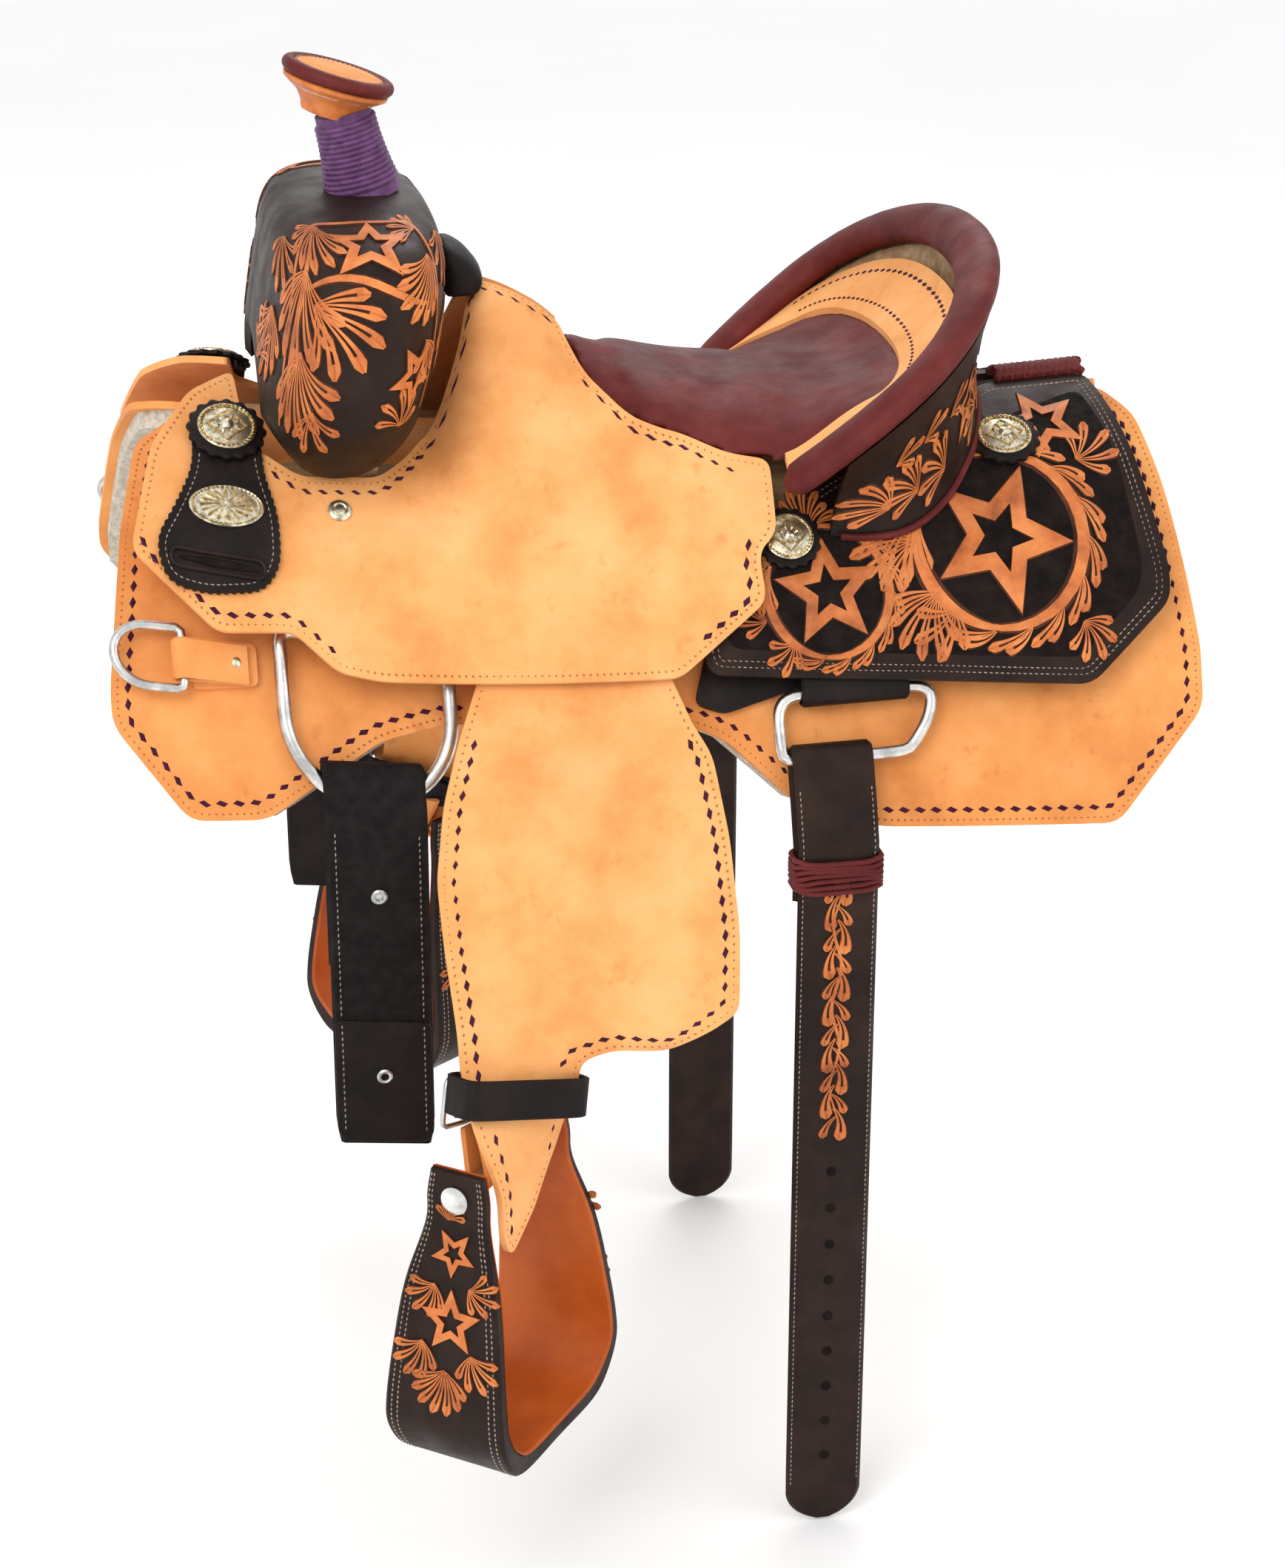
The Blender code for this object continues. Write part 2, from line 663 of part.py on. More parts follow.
def rear_jockeys(side, word):
    outline = [(0.222, 0.004), (0.290, 0.004), (0.296, 0.045), (0.303, 0.105), (0.309, 0.150), (0.307, 0.168),
               (0.252, 0.211), (0.150, 0.199), (0.012, 0.186), (0.006, 0.150), (0.050, 0.100), (0.130, 0.060),
               (0.190, 0.030)]
    mesh = panel_mesh(outline, rear_height, rear_height_outer, side)
    finish(f"rear_jockey_{word}", mesh, LEATHER_CHOCOLATE, 0.5)


def rear_lacing():
    """The braid that joins the rear jockeys behind the cantle."""
    mesh = bmesh.new()
    rings = []
    for i in range(7):
        x = 0.232 + 0.058 * i / 6
        height = 0.0300 + rise(x) + 0.0012
        rings.append([mesh.verts.new((x, 0.011 * math.cos(a), height + 0.0035 * math.sin(a)))
                      for a in (math.tau * k / 8 for k in range(8))])
    bridge_rings(mesh, rings)
    finish("rear_jockey_lacing", mesh, LEATHER_MAROON, 0.6)


def hand_hold():
    """The rolled leather edge of the hand hole behind the swell."""
    outline = [(-0.130, 0.112), (-0.131, 0.136), (-0.126, 0.141), (-0.116, 0.134), (-0.106, 0.121),
               (-0.108, 0.113)]
    mesh = bmesh.new()
    rings = [[mesh.verts.new((x, y, z)) for x, z in outline] for y in (-0.024, 0.024)]
    bridge_rings(mesh, rings)
    finish("hand_hold", mesh, LEATHER_BLACK, 0.6)


# ---------------------------------------------------------------- rigging

def surface_path(outline, h, side):
    return [side_point(x, s, h, side) for x, s in outline]


def front_dee(side, word):
    """A flat-topped steel D, its straight bar up under the jockey."""
    outline = arc((FRONT_DEE_X, FRONT_DEE_S), FRONT_DEE_HALF, 0, 180, 12)
    corner = 0.006
    outline += [(FRONT_DEE_X - FRONT_DEE_HALF, FRONT_DEE_BAR_S + corner),
                (FRONT_DEE_X - FRONT_DEE_HALF + corner, FRONT_DEE_BAR_S),
                (FRONT_DEE_X + FRONT_DEE_HALF - corner, FRONT_DEE_BAR_S),
                (FRONT_DEE_X + FRONT_DEE_HALF, FRONT_DEE_BAR_S + corner)]
    path = surface_path(outline, DEE_MIDDLE, side)
    mesh = tube_mesh(path, DEE_RADIUS, 8, True, side_normal(FRONT_DEE_S, side))
    finish(f"front_dee_{word}", mesh, STEEL, 0.3, 1.0)


def strap_mesh(path, half_widths, thickness, across):
    """A flat strap: path of middle points, with the strap's width along across."""
    mesh = bmesh.new()
    rings = []
    for i, point in enumerate(path):
        before = path[max(i - 1, 0)]
        after = path[min(i + 1, len(path) - 1)]
        tangent = (after - before).normalized()
        outward = tangent.cross(across).normalized() * (thickness / 2)
        wide = across * half_widths[i]
        rings.append([mesh.verts.new(point + wide + outward), mesh.verts.new(point - wide + outward),
                      mesh.verts.new(point - wide - outward), mesh.verts.new(point + wide - outward)])
    bridge_rings(mesh, rings)
    return mesh


def front_rigging(side, word):
    """The strap that holds the front dee: over its bar and down onto the skirt."""
    outline = [(FRONT_DEE_X - 0.036, 0.118), (FRONT_DEE_X + 0.036, 0.118), (FRONT_DEE_X + 0.036, 0.148),
               (FRONT_DEE_X - 0.036, 0.148)]
    finish(f"front_rigging_{word}", panel_mesh(outline, *STRAP, side), LEATHER_BLACK, 0.7)


def rear_rigging(side, word):
    outline = [(0.020, 0.150), (0.140, 0.150), (0.140, 0.192), (0.072, 0.192), (0.020, 0.205), (0.006, 0.200)]
    finish(f"rear_rigging_{word}", panel_mesh(outline, *STRAP, side), LEATHER_BLACK, 0.7)


def rear_dee(side, word):
    half = REAR_DEE_HALF
    outline = [(REAR_DEE_X - half, REAR_DEE_TOP_S), (REAR_DEE_X + half, REAR_DEE_TOP_S),
               (REAR_DEE_X + half - 0.002, 0.218), (REAR_DEE_X + half - 0.014, 0.234),
               (REAR_DEE_X + 0.030, REAR_DEE_BOTTOM_S), (REAR_DEE_X - half + 0.003, REAR_DEE_BOTTOM_S),
               (REAR_DEE_X - half, 0.233)]
    path = surface_path(outline, DEE_MIDDLE, side)
    origin = side_point(REAR_DEE_X, REAR_DEE_TOP_S, DEE_MIDDLE, side)
    mesh = tube_mesh(path, 0.004, 8, True, side_normal(REAR_DEE_TOP_S, side))
    finish(f"rear_dee_{word}", mesh, STEEL, 0.3, 1.0, origin)


def hanging_strap(side, x, bar_s, bar_reach, half_width, thickness, inner_length, length, leave_s,
                  lean=0.0):
    """A strap folded over a bar at (x, bar_s); both ends follow the skirt to leave_s, then hang.

    bar_reach is how far the bar stands above bar_s where the strap crosses it. lean is how far
    the free end leans in under the saddle, as a share of its length.
    """
    turn = DEE_RADIUS + 0.0012 + thickness / 2
    inner, outer = DEE_MIDDLE - turn, DEE_MIDDLE + turn
    stops = [s for s in S_CUTS if bar_s < s < leave_s] + [leave_s]

    def fall(h, total, fractions):
        points = [side_point(x, s, h, side) for s in stops]
        start = side_point(x, bar_s, h, side)
        below = total - (start.z - points[-1].z)
        drop = Vector((0, -side * lean * below, -below))
        return points + [points[-1] + drop * f for f in fractions]
    bar = side_point(x, bar_s, DEE_MIDDLE, side)
    out = side_normal(bar_s, side)
    up = Vector((0, -side * out.z, abs(out.y)))
    over = [bar + up * bar_reach + (out * -math.cos(a) + up * math.sin(a)) * turn
            for a in (math.radians(d) for d in (0, 45, 90, 135, 180))]
    path = list(reversed(fall(inner, inner_length, (1.0,)))) + [side_point(x, bar_s, inner, side)] + over
    path += [side_point(x, bar_s, outer, side)] + fall(outer, length, (0.5, 0.93, 0.975, 1.0))
    if bar_reach < 0.001:
        path = [p for i, p in enumerate(path) if i == 0 or (p - path[i - 1]).length > 1e-5]
    widths = [half_width] * (len(path) - 2) + [half_width * 0.85, half_width * 0.3]
    level = side_point(x + 0.01, bar_s, 0, side) - side_point(x - 0.01, bar_s, 0, side)
    return strap_mesh(path, widths, thickness, level.normalized()), bar


def rear_billet(side, word):
    mesh, bar = hanging_strap(side, BILLET_X, REAR_DEE_BOTTOM_S, 0.0, 0.0255, 0.0040, 0.085, 0.544, 0.290)
    finish(f"rear_billet_{word}", mesh, LEATHER_CHOCOLATE, 0.6, origin=bar)


def rear_billet_lace(side, word):
    """The laced keeper round the folded billet, below the skirt's edge."""
    bar = side_point(BILLET_X, REAR_DEE_BOTTOM_S, DEE_MIDDLE, side)
    middle = side_point(BILLET_X, 0.290, DEE_MIDDLE, side) + Vector((0, 0, -0.016))
    mesh = band_mesh(middle, Vector((1, 0, 0)), Vector((0, side, 0)), 0.0260, 0.0112, 0.0020, 0.014)
    finish(f"rear_billet_lace_{word}", mesh, LEATHER_MAROON, 0.6, origin=bar)


def band_mesh(centre, across, out, half_width, half_depth, thickness, height, up=Vector((0, 0, 1))):
    """A flat rectangular band round a strap; its hole is half_width by half_depth."""
    mesh = bmesh.new()
    rings = []
    for a, b in ((1, 1), (-1, 1), (-1, -1), (1, -1)):
        inner = centre + across * (a * half_width) + out * (b * half_depth)
        outer = inner + across * (a * thickness) + out * (b * thickness)
        rings.append([mesh.verts.new(p) for p in (inner - up * height / 2, outer - up * height / 2,
                                                  outer + up * height / 2, inner + up * height / 2)])
    bridge_rings(mesh, rings, closed=True)
    return mesh


def front_strap(side, word, name, length):
    """The cinch strap folded over the front dee: the latigo, or the off side's billet."""
    lowest = FRONT_DEE_S + FRONT_DEE_HALF
    mesh, _ = hanging_strap(side, FRONT_DEE_X, lowest, 0.0155, 0.031, 0.0035, 0.110, length, 0.262,
                            FRONT_STRAP_LEAN)
    pivot = side_point(FRONT_DEE_X, FRONT_DEE_S, DEE_MIDDLE, side)
    finish(name, mesh, LEATHER_BLACK, 0.7, origin=pivot)


def breast_dee(side, word):
    """A small dee for the breast collar, in a leather tab at the skirt's front."""
    outline = arc((-0.3265, 0.179), 0.0200, 90, 270, 8, 0.0175)
    outline += [(-0.3060, 0.1615), (-0.3060, 0.1965)]
    path = surface_path(outline, 0.0285, side)
    pivot = side_point(-0.3060, 0.179, 0.0285, side)
    mesh = tube_mesh(path, 0.003, 8, True, side_normal(0.179, side))
    finish(f"breast_dee_{word}", mesh, STEEL, 0.3, 1.0, pivot)
    outline = [(-0.301, 0.163), (-0.262, 0.166), (-0.262, 0.190), (-0.301, 0.195)]
    finish(f"breast_dee_tab_{word}", panel_mesh(outline, SKIRT[1] + GAP, 0.029, side), LEATHER_ORANGE, 0.7)


# ---------------------------------------------------------------- stirrup leather and fender

def twisted_frame(s, side):
    """Directions across and out of the fender at s, turned towards the stirrup lower down."""
    turn = (math.pi / 2 - STIRRUP_TURN) * smooth(TWIST_START, TWIST_END, s)
    across = Vector((math.cos(turn), -side * math.sin(turn), 0))
    out = Vector((math.sin(turn), side * math.cos(turn), 0))
    return across, out


def fender_point(x, s, h, side):
    """A point on the fender, which turns about its own length between TWIST_START and TWIST_END."""
    middle = side_point(TWIST_X, s, FENDER[0], side)
    across, out = twisted_frame(s, side)
    turned = middle + across * (x - TWIST_X) + out * (h - FENDER[0])
    flat = side_point(x, s, h, side)
    return flat.lerp(turned, smooth(TWIST_START - 0.03, TWIST_START + 0.02, s))


def stirrup_leather(side, word):
    x = LEATHER_X
    outline = [(x - 0.012, 0.119), (x + 0.012, 0.119), (x + 0.036, 0.145), (x + 0.036, 0.190),
               (x - 0.036, 0.190), (x - 0.036, 0.145)]
    origin = side_point(x, LEATHER_S, (STUB[0] + STUB[1]) / 2, side)
    finish(f"stirrup_leather_{word}", panel_mesh(outline, *STUB, side), LEATHER_ORANGE, 0.7, origin=origin)


def fender(side, word):
    outline = [(-0.134, 0.2115), (-0.070, 0.196), (-0.007, 0.2115), (0.006, 0.232), (0.015, 0.280),
               (0.018, 0.335), (0.015, 0.384), (-0.028, 0.411), (-0.064, 0.404), (-0.084, 0.410),
               (-0.086, 0.470), (-0.118, 0.497), (-0.150, 0.512), (-0.158, 0.500), (-0.158, 0.390),
               (-0.163, 0.340), (-0.165, 0.300), (-0.158, 0.257), (-0.146, 0.220)]
    origin = side_point(LEATHER_X, FENDER_HINGE_S, FENDER[1], side)
    cuts = X_CUTS + (TWIST_X, -0.085, -0.05)
    mesh = panel_mesh(outline, *FENDER, side, fender_point, cuts)
    finish(f"fender_{word}", mesh, LEATHER_TAN, 0.8, origin=origin)


def leather_loop(side, word):
    """The stirrup leather behind the fender, down round the stirrup's bolt and back up."""
    middle = (LOOP[0] + LOOP[1]) / 2
    thickness = 0.0036
    mesh = bmesh.new()
    rings = []

    def ring(point, across, out, half_width):
        wide = across * half_width
        thick = out * (thickness / 2)
        rings.append([mesh.verts.new(p) for p in (point + wide + thick, point - wide + thick,
                                                  point - wide - thick, point + wide - thick)])
    for s in (0.215, 0.245, 0.28, 0.32, 0.36, 0.385, 0.41, 0.425, 0.44, 0.455, BAR_S):
        across, out = twisted_frame(s, side)
        if s < TWIST_START:
            out = side_normal(s, side)
        x = TWIST_X + 0.030 * (1 - smooth(0.22, 0.36, s))
        ring(fender_point(x, s, middle, side), across, out, 0.029)
    across, out = twisted_frame(BAR_S, side)
    bolt = bolt_centre(side)
    turn = (fender_point(TWIST_X, BAR_S, middle, side) - bolt).dot(out)
    for degrees in (45, 90, 135, 180):
        a = math.radians(degrees)
        radial = out * math.cos(a) - Vector((0, 0, 1)) * math.sin(a)
        ring(bolt + radial * turn, across, radial, 0.029)
    across, out = twisted_frame(0.445, side)
    ring(fender_point(TWIST_X, 0.445, middle - 2 * turn, side), across, -out, 0.029)
    bridge_rings(mesh, rings)
    origin = side_point(LEATHER_X, FENDER_HINGE_S, FENDER[1], side)
    finish(f"stirrup_leather_loop_{word}", mesh, LEATHER_ORANGE, 0.7, origin=origin)


def bolt_centre(side):
    across, out = twisted_frame(BAR_S, side)
    strap = fender_point(TWIST_X, BAR_S, LOOP[0], side)
    return strap - out * (BOLT_RADIUS + 0.0006)


def hobble_strap(side, word):
    s = 0.428
    across, out = twisted_frame(s, side)
    centre = fender_point(TWIST_X, s, (LOOP[0] + FENDER[1]) / 2, side)
    above = fender_point(TWIST_X, s - 0.01, LOOP[0], side)
    up = (above - fender_point(TWIST_X, s + 0.01, LOOP[0], side)).normalized()
    mesh = band_mesh(centre, across, across.cross(up) * side, 0.0410, 0.0178, 0.0030, 0.024, up)
    origin = side_point(LEATHER_X, FENDER_HINGE_S, FENDER[1], side)
    finish(f"hobble_strap_{word}", mesh, LEATHER_BLACK, 0.5, origin=origin)


def stirrup(side, word):
    """A bell-bottomed stirrup hung on its bolt, turned outward."""
    across, out = twisted_frame(BAR_S, side)
    bolt = bolt_centre(side)
    # half-width, height and half-depth of the band, from one branch's top to the other's
    half = [(0.0535, 0.0165, 0.0180), (0.0545, 0.000, 0.0205), (0.0560, -0.020, 0.0215),
            (0.0650, -0.060, 0.032), (0.0760, -0.140, 0.041), (0.0750, -0.152, 0.042),
            (0.0610, STIRRUP_HEIGHT * -0.93, 0.040), (0.0450, -STIRRUP_HEIGHT, 0.039)]
    inner = [(0.0465, 0.0165), (0.0475, 0.000), (0.0488, -0.020), (0.0565, -0.060), (0.0660, -0.138),
             (0.0652, -0.146), (0.0540, -0.165), (0.0410, STIRRUP_HEIGHT * -0.93)]
    stations = [(-w, z, d, -wi, zi) for (w, z, d), (wi, zi) in zip(half, inner)]
    stations += [(w, z, d, wi, zi) for (w, z, d), (wi, zi) in reversed(list(zip(half, inner)))]
    mesh = bmesh.new()
    rings = []
    for w, z, depth, inner_w, inner_z in stations:
        outer = bolt + across * w + Vector((0, 0, z))
        within = bolt + across * inner_w + Vector((0, 0, inner_z))
        rings.append([mesh.verts.new(p) for p in (outer + out * depth, outer - out * depth,
                                                  within - out * depth, within + out * depth)])
    bridge_rings(mesh, rings)
    finish(f"stirrup_{word}", mesh, LEATHER_CHOCOLATE, 0.6, origin=bolt)
    ends = [bolt - across * 0.0465, bolt + across * 0.0465]
    rod = tube_mesh(ends, BOLT_RADIUS, 12, False, Vector((0, 0, 1)))
    finish(f"stirrup_bolt_{word}", rod, STEEL, 0.35, 1.0, origin=bolt)


# ---------------------------------------------------------------- fittings

def concho(name, x, s, layer, radius, side, place=side_point):
    """A domed disc whose back is flat on the leather."""
    base = place(x, s, layer, side)
    along_x = place(x + 0.01, s, layer, side) - place(x - 0.01, s, layer, side)
    down = place(x, s + 0.01, layer, side) - place(x, s - 0.01, layer, side)
    normal = along_x.cross(down).normalized()
    if normal.dot(side_normal(s, side)) < 0:
        normal = -normal
    lift = radius * radius / 0.8 + 0.0008
    profile = [(radius, 0.0), (radius, 0.002), (radius * 0.7, 0.0042), (radius * 0.3, 0.0052)]
    finish(name, turned_mesh(profile, base + normal * lift, normal, 20), GILT, 0.35, 1.0)


def keeper(side, word):
    """The keyhole-shaped latigo keeper on the front of the jockey."""
    outline = arc((-0.270, 0.055), 0.022, 200, 340, 6, 0.020)
    outline += [(-0.250, 0.075), (-0.243, 0.100), (-0.244, 0.128), (-0.255, 0.143), (-0.290, 0.147),
                (-0.313, 0.142), (-0.318, 0.120), (-0.304, 0.098), (-0.292, 0.075)]
    mesh = panel_mesh(outline, *KEEPER, side, jockey_point, FINE_X_CUTS)
    finish(f"latigo_keeper_{word}", mesh, LEATHER_BLACK, 0.6)


def fittings(side, word):
    concho(f"front_concho_{word}", -0.270, 0.053, KEEPER[1], 0.0125, side, jockey_point)
    concho(f"seat_concho_{word}", 0.070, 0.116, REAR_JOCKEY[1], 0.0160, side)
    concho(f"rear_concho_{word}", 0.222, 0.060, rear_height_outer(0.060) + GAP, 0.0170, side)


def main():
    for old in list(bpy.data.objects):
        bpy.data.objects.remove(old, do_unlink=True)
    tree_fork()
    swell_cover()
    horn()
    hand_hold()
    seat()
    cantle()
    cantle_binding()
    rear_lacing()
    for side, word in SIDES:
        skirts(side, word)
        tree_bar(side, word)
        seat_jockeys(side, word)
        rear_jockeys(side, word)
        front_rigging(side, word)
        rear_rigging(side, word)
        front_dee(side, word)
        rear_dee(side, word)
        rear_billet(side, word)
        rear_billet_lace(side, word)
        breast_dee(side, word)
        stirrup_leather(side, word)
        fender(side, word)
        leather_loop(side, word)
        hobble_strap(side, word)
        stirrup(side, word)
        keeper(side, word)
        fittings(side, word)
    front_strap(LEFT, "left", "latigo", 0.235)
    front_strap(RIGHT, "right", "off_billet", 0.235)


main()
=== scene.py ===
"""The western saddle's finished surface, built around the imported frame.

Metres, +Z up, +X towards the cantle, -Y the near (left) side. Leather pieces lie on one
curved side surface: a point on it is (x, s, h), with s down the side from the centre line
and h outward from the surface that rests on the horse's back.
"""
import bpy
import bmesh
import math
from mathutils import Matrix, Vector, noise


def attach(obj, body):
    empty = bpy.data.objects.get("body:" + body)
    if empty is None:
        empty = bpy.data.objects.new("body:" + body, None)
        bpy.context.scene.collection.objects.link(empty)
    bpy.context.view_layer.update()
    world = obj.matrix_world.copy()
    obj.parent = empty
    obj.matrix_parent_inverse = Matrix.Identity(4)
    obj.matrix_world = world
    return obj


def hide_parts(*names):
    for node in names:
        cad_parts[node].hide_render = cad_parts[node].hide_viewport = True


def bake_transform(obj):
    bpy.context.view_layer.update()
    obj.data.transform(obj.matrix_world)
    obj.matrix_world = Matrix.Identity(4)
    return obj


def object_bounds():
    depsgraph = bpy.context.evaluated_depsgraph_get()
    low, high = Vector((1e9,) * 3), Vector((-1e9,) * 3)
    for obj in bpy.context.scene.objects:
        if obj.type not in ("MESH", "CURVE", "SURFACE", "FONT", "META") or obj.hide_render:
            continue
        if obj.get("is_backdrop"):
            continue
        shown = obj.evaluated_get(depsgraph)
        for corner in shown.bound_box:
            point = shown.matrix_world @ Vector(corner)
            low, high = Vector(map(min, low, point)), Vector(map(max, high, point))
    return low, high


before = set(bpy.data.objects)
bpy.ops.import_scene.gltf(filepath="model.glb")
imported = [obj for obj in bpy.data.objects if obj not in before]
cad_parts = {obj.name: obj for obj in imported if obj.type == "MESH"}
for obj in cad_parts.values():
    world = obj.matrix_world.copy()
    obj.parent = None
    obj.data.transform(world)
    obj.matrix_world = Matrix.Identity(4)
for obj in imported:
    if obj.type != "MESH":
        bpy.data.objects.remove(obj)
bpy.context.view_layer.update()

LEFT, RIGHT = -1, 1
SIDES = ((LEFT, "left"), (RIGHT, "right"))

# ---------------------------------------------------------------- driving dimensions

TOP_SLOPE = math.radians(12)
LOW_SLOPE = math.radians(78)
ROLL_LENGTH = 0.15
SECTION_STEP = 0.0025
HALF_LENGTH = 0.33
FRONT_ROCK = 0.030
REAR_ROCK = 0.012

# Layers, as (inner, outer) distance from the side surface.
SKIRT = (0.0123, 0.0170)
STRAP = (0.0173, 0.0220)
DEE_MIDDLE = 0.0275
LOOP = (0.0285, 0.0321)
REAR_JOCKEY = (0.0340, 0.0385)
FENDER = (0.0400, 0.0440)
JOCKEY = (0.0435, 0.0480)
KEEPER = (0.0483, 0.0520)

JOIN = 0.15             # where the seat's side runs onto the side surface
SEAT_FRONT = -0.050
RIM_BACK = 0.207
RIM_TURN = 0.125
RIM_END = 0.066
RIM_HALF_WIDTH = 0.148
RIM_END_Y = 0.136
RIM_POWER = 2.2
RIM_LOW = 0.010
RIM_SLOPE = 0.82
RIM_ARC = 0.8           # share of the rim that is its rear arc; the rest is its two arms
INLAY_DEPTH = 0.041
ROLL_WIDTH = 0.016
ROLL_DEPTH = 0.0085
SEAT_HEIGHT = ((-0.15, 0.122), (-0.10, 0.112), (-0.07, 0.097), (-0.045, 0.077), (-0.01, 0.064),
               (0.025, 0.055), (0.06, 0.051), (0.10, 0.050), (0.14, 0.057), (0.16, 0.066),
               (0.175, 0.079), (0.19, 0.094), (0.21, 0.113))
SEAT_CROWN = ((-0.15, 0.05), (-0.045, 0.05), (0.0, 0.115), (0.2, 0.12))
SEAM = ((SEAT_FRONT, 0.012), (-0.045, 0.040), (-0.022, 0.073), (0.008, 0.090), (0.035, 0.101),
        (RIM_END, 0.106))

SWELL_X = -0.200
SWELL_TOP = 0.166
GULLET_HALF_WIDTH = 0.075
GULLET_HEIGHT = 0.085
HORN_TILT = math.radians(-17)
HORN_CAP = Vector((-0.188, 0.0, 0.2425))

FRONT_DEE_X = -0.198
FRONT_DEE_S = 0.205
FRONT_DEE_HALF = 0.050
FRONT_DEE_BAR_S = 0.158
REAR_DEE_X = 0.103
REAR_DEE_HALF = 0.049
REAR_DEE_TOP_S = 0.200
REAR_DEE_BOTTOM_S = 0.238
BILLET_X = REAR_DEE_X - 0.0185

TWIST_START = 0.39
TWIST_END = 0.48
TWIST_X = -0.122
STIRRUP_TURN = math.radians(35)
BAR_S = 0.470
BOLT_RADIUS = 0.0045


# ---------------------------------------------------------------- surfaces

def smooth(low, high, value):
    t = min(max((value - low) / (high - low), 0.0), 1.0)
    return t * t * (3 - 2 * t)


def mix(a, b, t):
    return a + (b - a) * t


def along(table, x):
    """A smooth curve through a short list of (x, value) pairs."""
    if x <= table[0][0]:
        return table[0][1]
    if x >= table[-1][0]:
        return table[-1][1]
    for i in range(len(table) - 1):
        if x <= table[i + 1][0]:
            break
    (x0, v0), (x1, v1) = table[i], table[i + 1]
    before, after = table[max(i - 1, 0)], table[min(i + 2, len(table) - 1)]
    width = x1 - x0
    slope0 = (v1 - before[1]) / (x1 - before[0]) * width
    slope1 = (after[1] - v0) / (after[0] - x0) * width
    t = (x - x0) / width
    return ((2 * t ** 3 - 3 * t ** 2 + 1) * v0 + (t ** 3 - 2 * t ** 2 + t) * slope0
            + (3 * t ** 2 - 2 * t ** 3) * v1 + (t ** 3 - t ** 2) * slope1)


def build_section():
    """Side surface at each small step of s: y, z, and the sine and cosine of its slope."""
    rows = []
    y, z, slope, s = 0.0, 0.0, TOP_SLOPE, 0.0
    while s < 0.62:
        rows.append((y, z, math.sin(slope), math.cos(slope)))
        s += SECTION_STEP
        new_slope = TOP_SLOPE + (LOW_SLOPE - TOP_SLOPE) * (1 - math.exp(-s / ROLL_LENGTH))
        middle = (slope + new_slope) / 2
        y += SECTION_STEP * math.cos(middle)
        z -= SECTION_STEP * math.sin(middle)
        slope = new_slope
    return rows


SECTION = build_section()


def section(s):
    place = min(max(s / SECTION_STEP, 0.0), len(SECTION) - 1.001)
    i = int(place)
    part = place - i
    return tuple(a + (b - a) * part for a, b in zip(SECTION[i], SECTION[i + 1]))


def rise(x):
    return (FRONT_ROCK if x < 0 else REAR_ROCK) * (x / HALF_LENGTH) ** 2


def side_point(x, s, h, side):
    y, z, sine, cosine = section(s)
    return Vector((x, side * (y + h * sine), z + h * cosine + rise(x)))


def side_normal(s, side):
    sine, cosine = section(s)[2:]
    return Vector((0.0, side * sine, cosine)).normalized()


def seat_curve(x, t):
    """y and z on the seat's cross-section at x, from the crown (t=0) to the join (t=1)."""
    y3, z3, sine, cosine = section(JOIN)
    y3 += JOCKEY[1] * sine
    z3 += JOCKEY[1] * cosine + rise(x)
    top = along(SEAT_HEIGHT, x)
    handle = 0.06
    points = ((0.0, top), (along(SEAT_CROWN, x), top),
              (y3 - handle * cosine, z3 + handle * sine), (y3, z3))
    u = 1 - t
    weights = (u ** 3, 3 * u * u * t, 3 * u * t * t, t ** 3)
    return (sum(w * p[0] for w, p in zip(weights, points)),
            sum(w * p[1] for w, p in zip(weights, points)))


def jockey_point(x, s, h, side):
    """The seat jockeys leave the side surface above the join and climb to the seat."""
    low = side_point(x, s, h, side)
    if s >= JOIN or x < -0.15:
        return low
    t = s / JOIN
    y, z = seat_curve(x, t)
    y1, z1 = seat_curve(x, t + 0.01)
    length = math.hypot(y1 - y, z1 - z)
    drop = h - JOCKEY[1]
    normal_y, normal_z = (z - z1) / length, (y1 - y) / length
    high = Vector((x, side * (y + drop * normal_y), z + drop * normal_z))
    return low.lerp(high, smooth(-0.15, -0.105, x))


def rear_jockey_point(x, s, h, side):
    """The rear jockeys lie close to the skirts at the ridge and over the bars lower down."""
    return side_point(x, s, h - 0.0115 * (1 - min(s / 0.08, 1.0)), side)


def twisted_frame(s, side):
    turn = (math.pi / 2 - STIRRUP_TURN) * smooth(TWIST_START, TWIST_END, s)
    across = Vector((math.cos(turn), -side * math.sin(turn), 0))
    out = Vector((math.sin(turn), side * math.cos(turn), 0))
    return across, out


def fender_point(x, s, h, side):
    """The fender turns about its own length between TWIST_START and TWIST_END."""
    middle = side_point(TWIST_X, s, FENDER[0], side)
    across, out = twisted_frame(s, side)
    turned = middle + across * (x - TWIST_X) + out * (h - FENDER[0])
    flat = side_point(x, s, h, side)
    return flat.lerp(turned, smooth(TWIST_START - 0.03, TWIST_START + 0.02, s))


def seat_fraction(x, y):
    """How far down the seat's cross-section y lies, as a fraction of the way to the join."""
    low, high = 0.0, 1.0
    for _ in range(24):
        middle = (low + high) / 2
        if seat_curve(x, middle)[0] < y:
            low = middle
        else:
            high = middle
    return low


def rim_half_width(x, inset=0.0):
    if x <= RIM_TURN:
        part = (RIM_TURN - x) / (RIM_TURN - RIM_END)
        return RIM_HALF_WIDTH + (RIM_END_Y - RIM_HALF_WIDTH) * part ** 2 - inset
    ratio = min((x - RIM_TURN) / (RIM_BACK - inset - RIM_TURN), 1.0)
    return (RIM_HALF_WIDTH - inset) * (1 - ratio ** RIM_POWER) ** (1 / RIM_POWER)


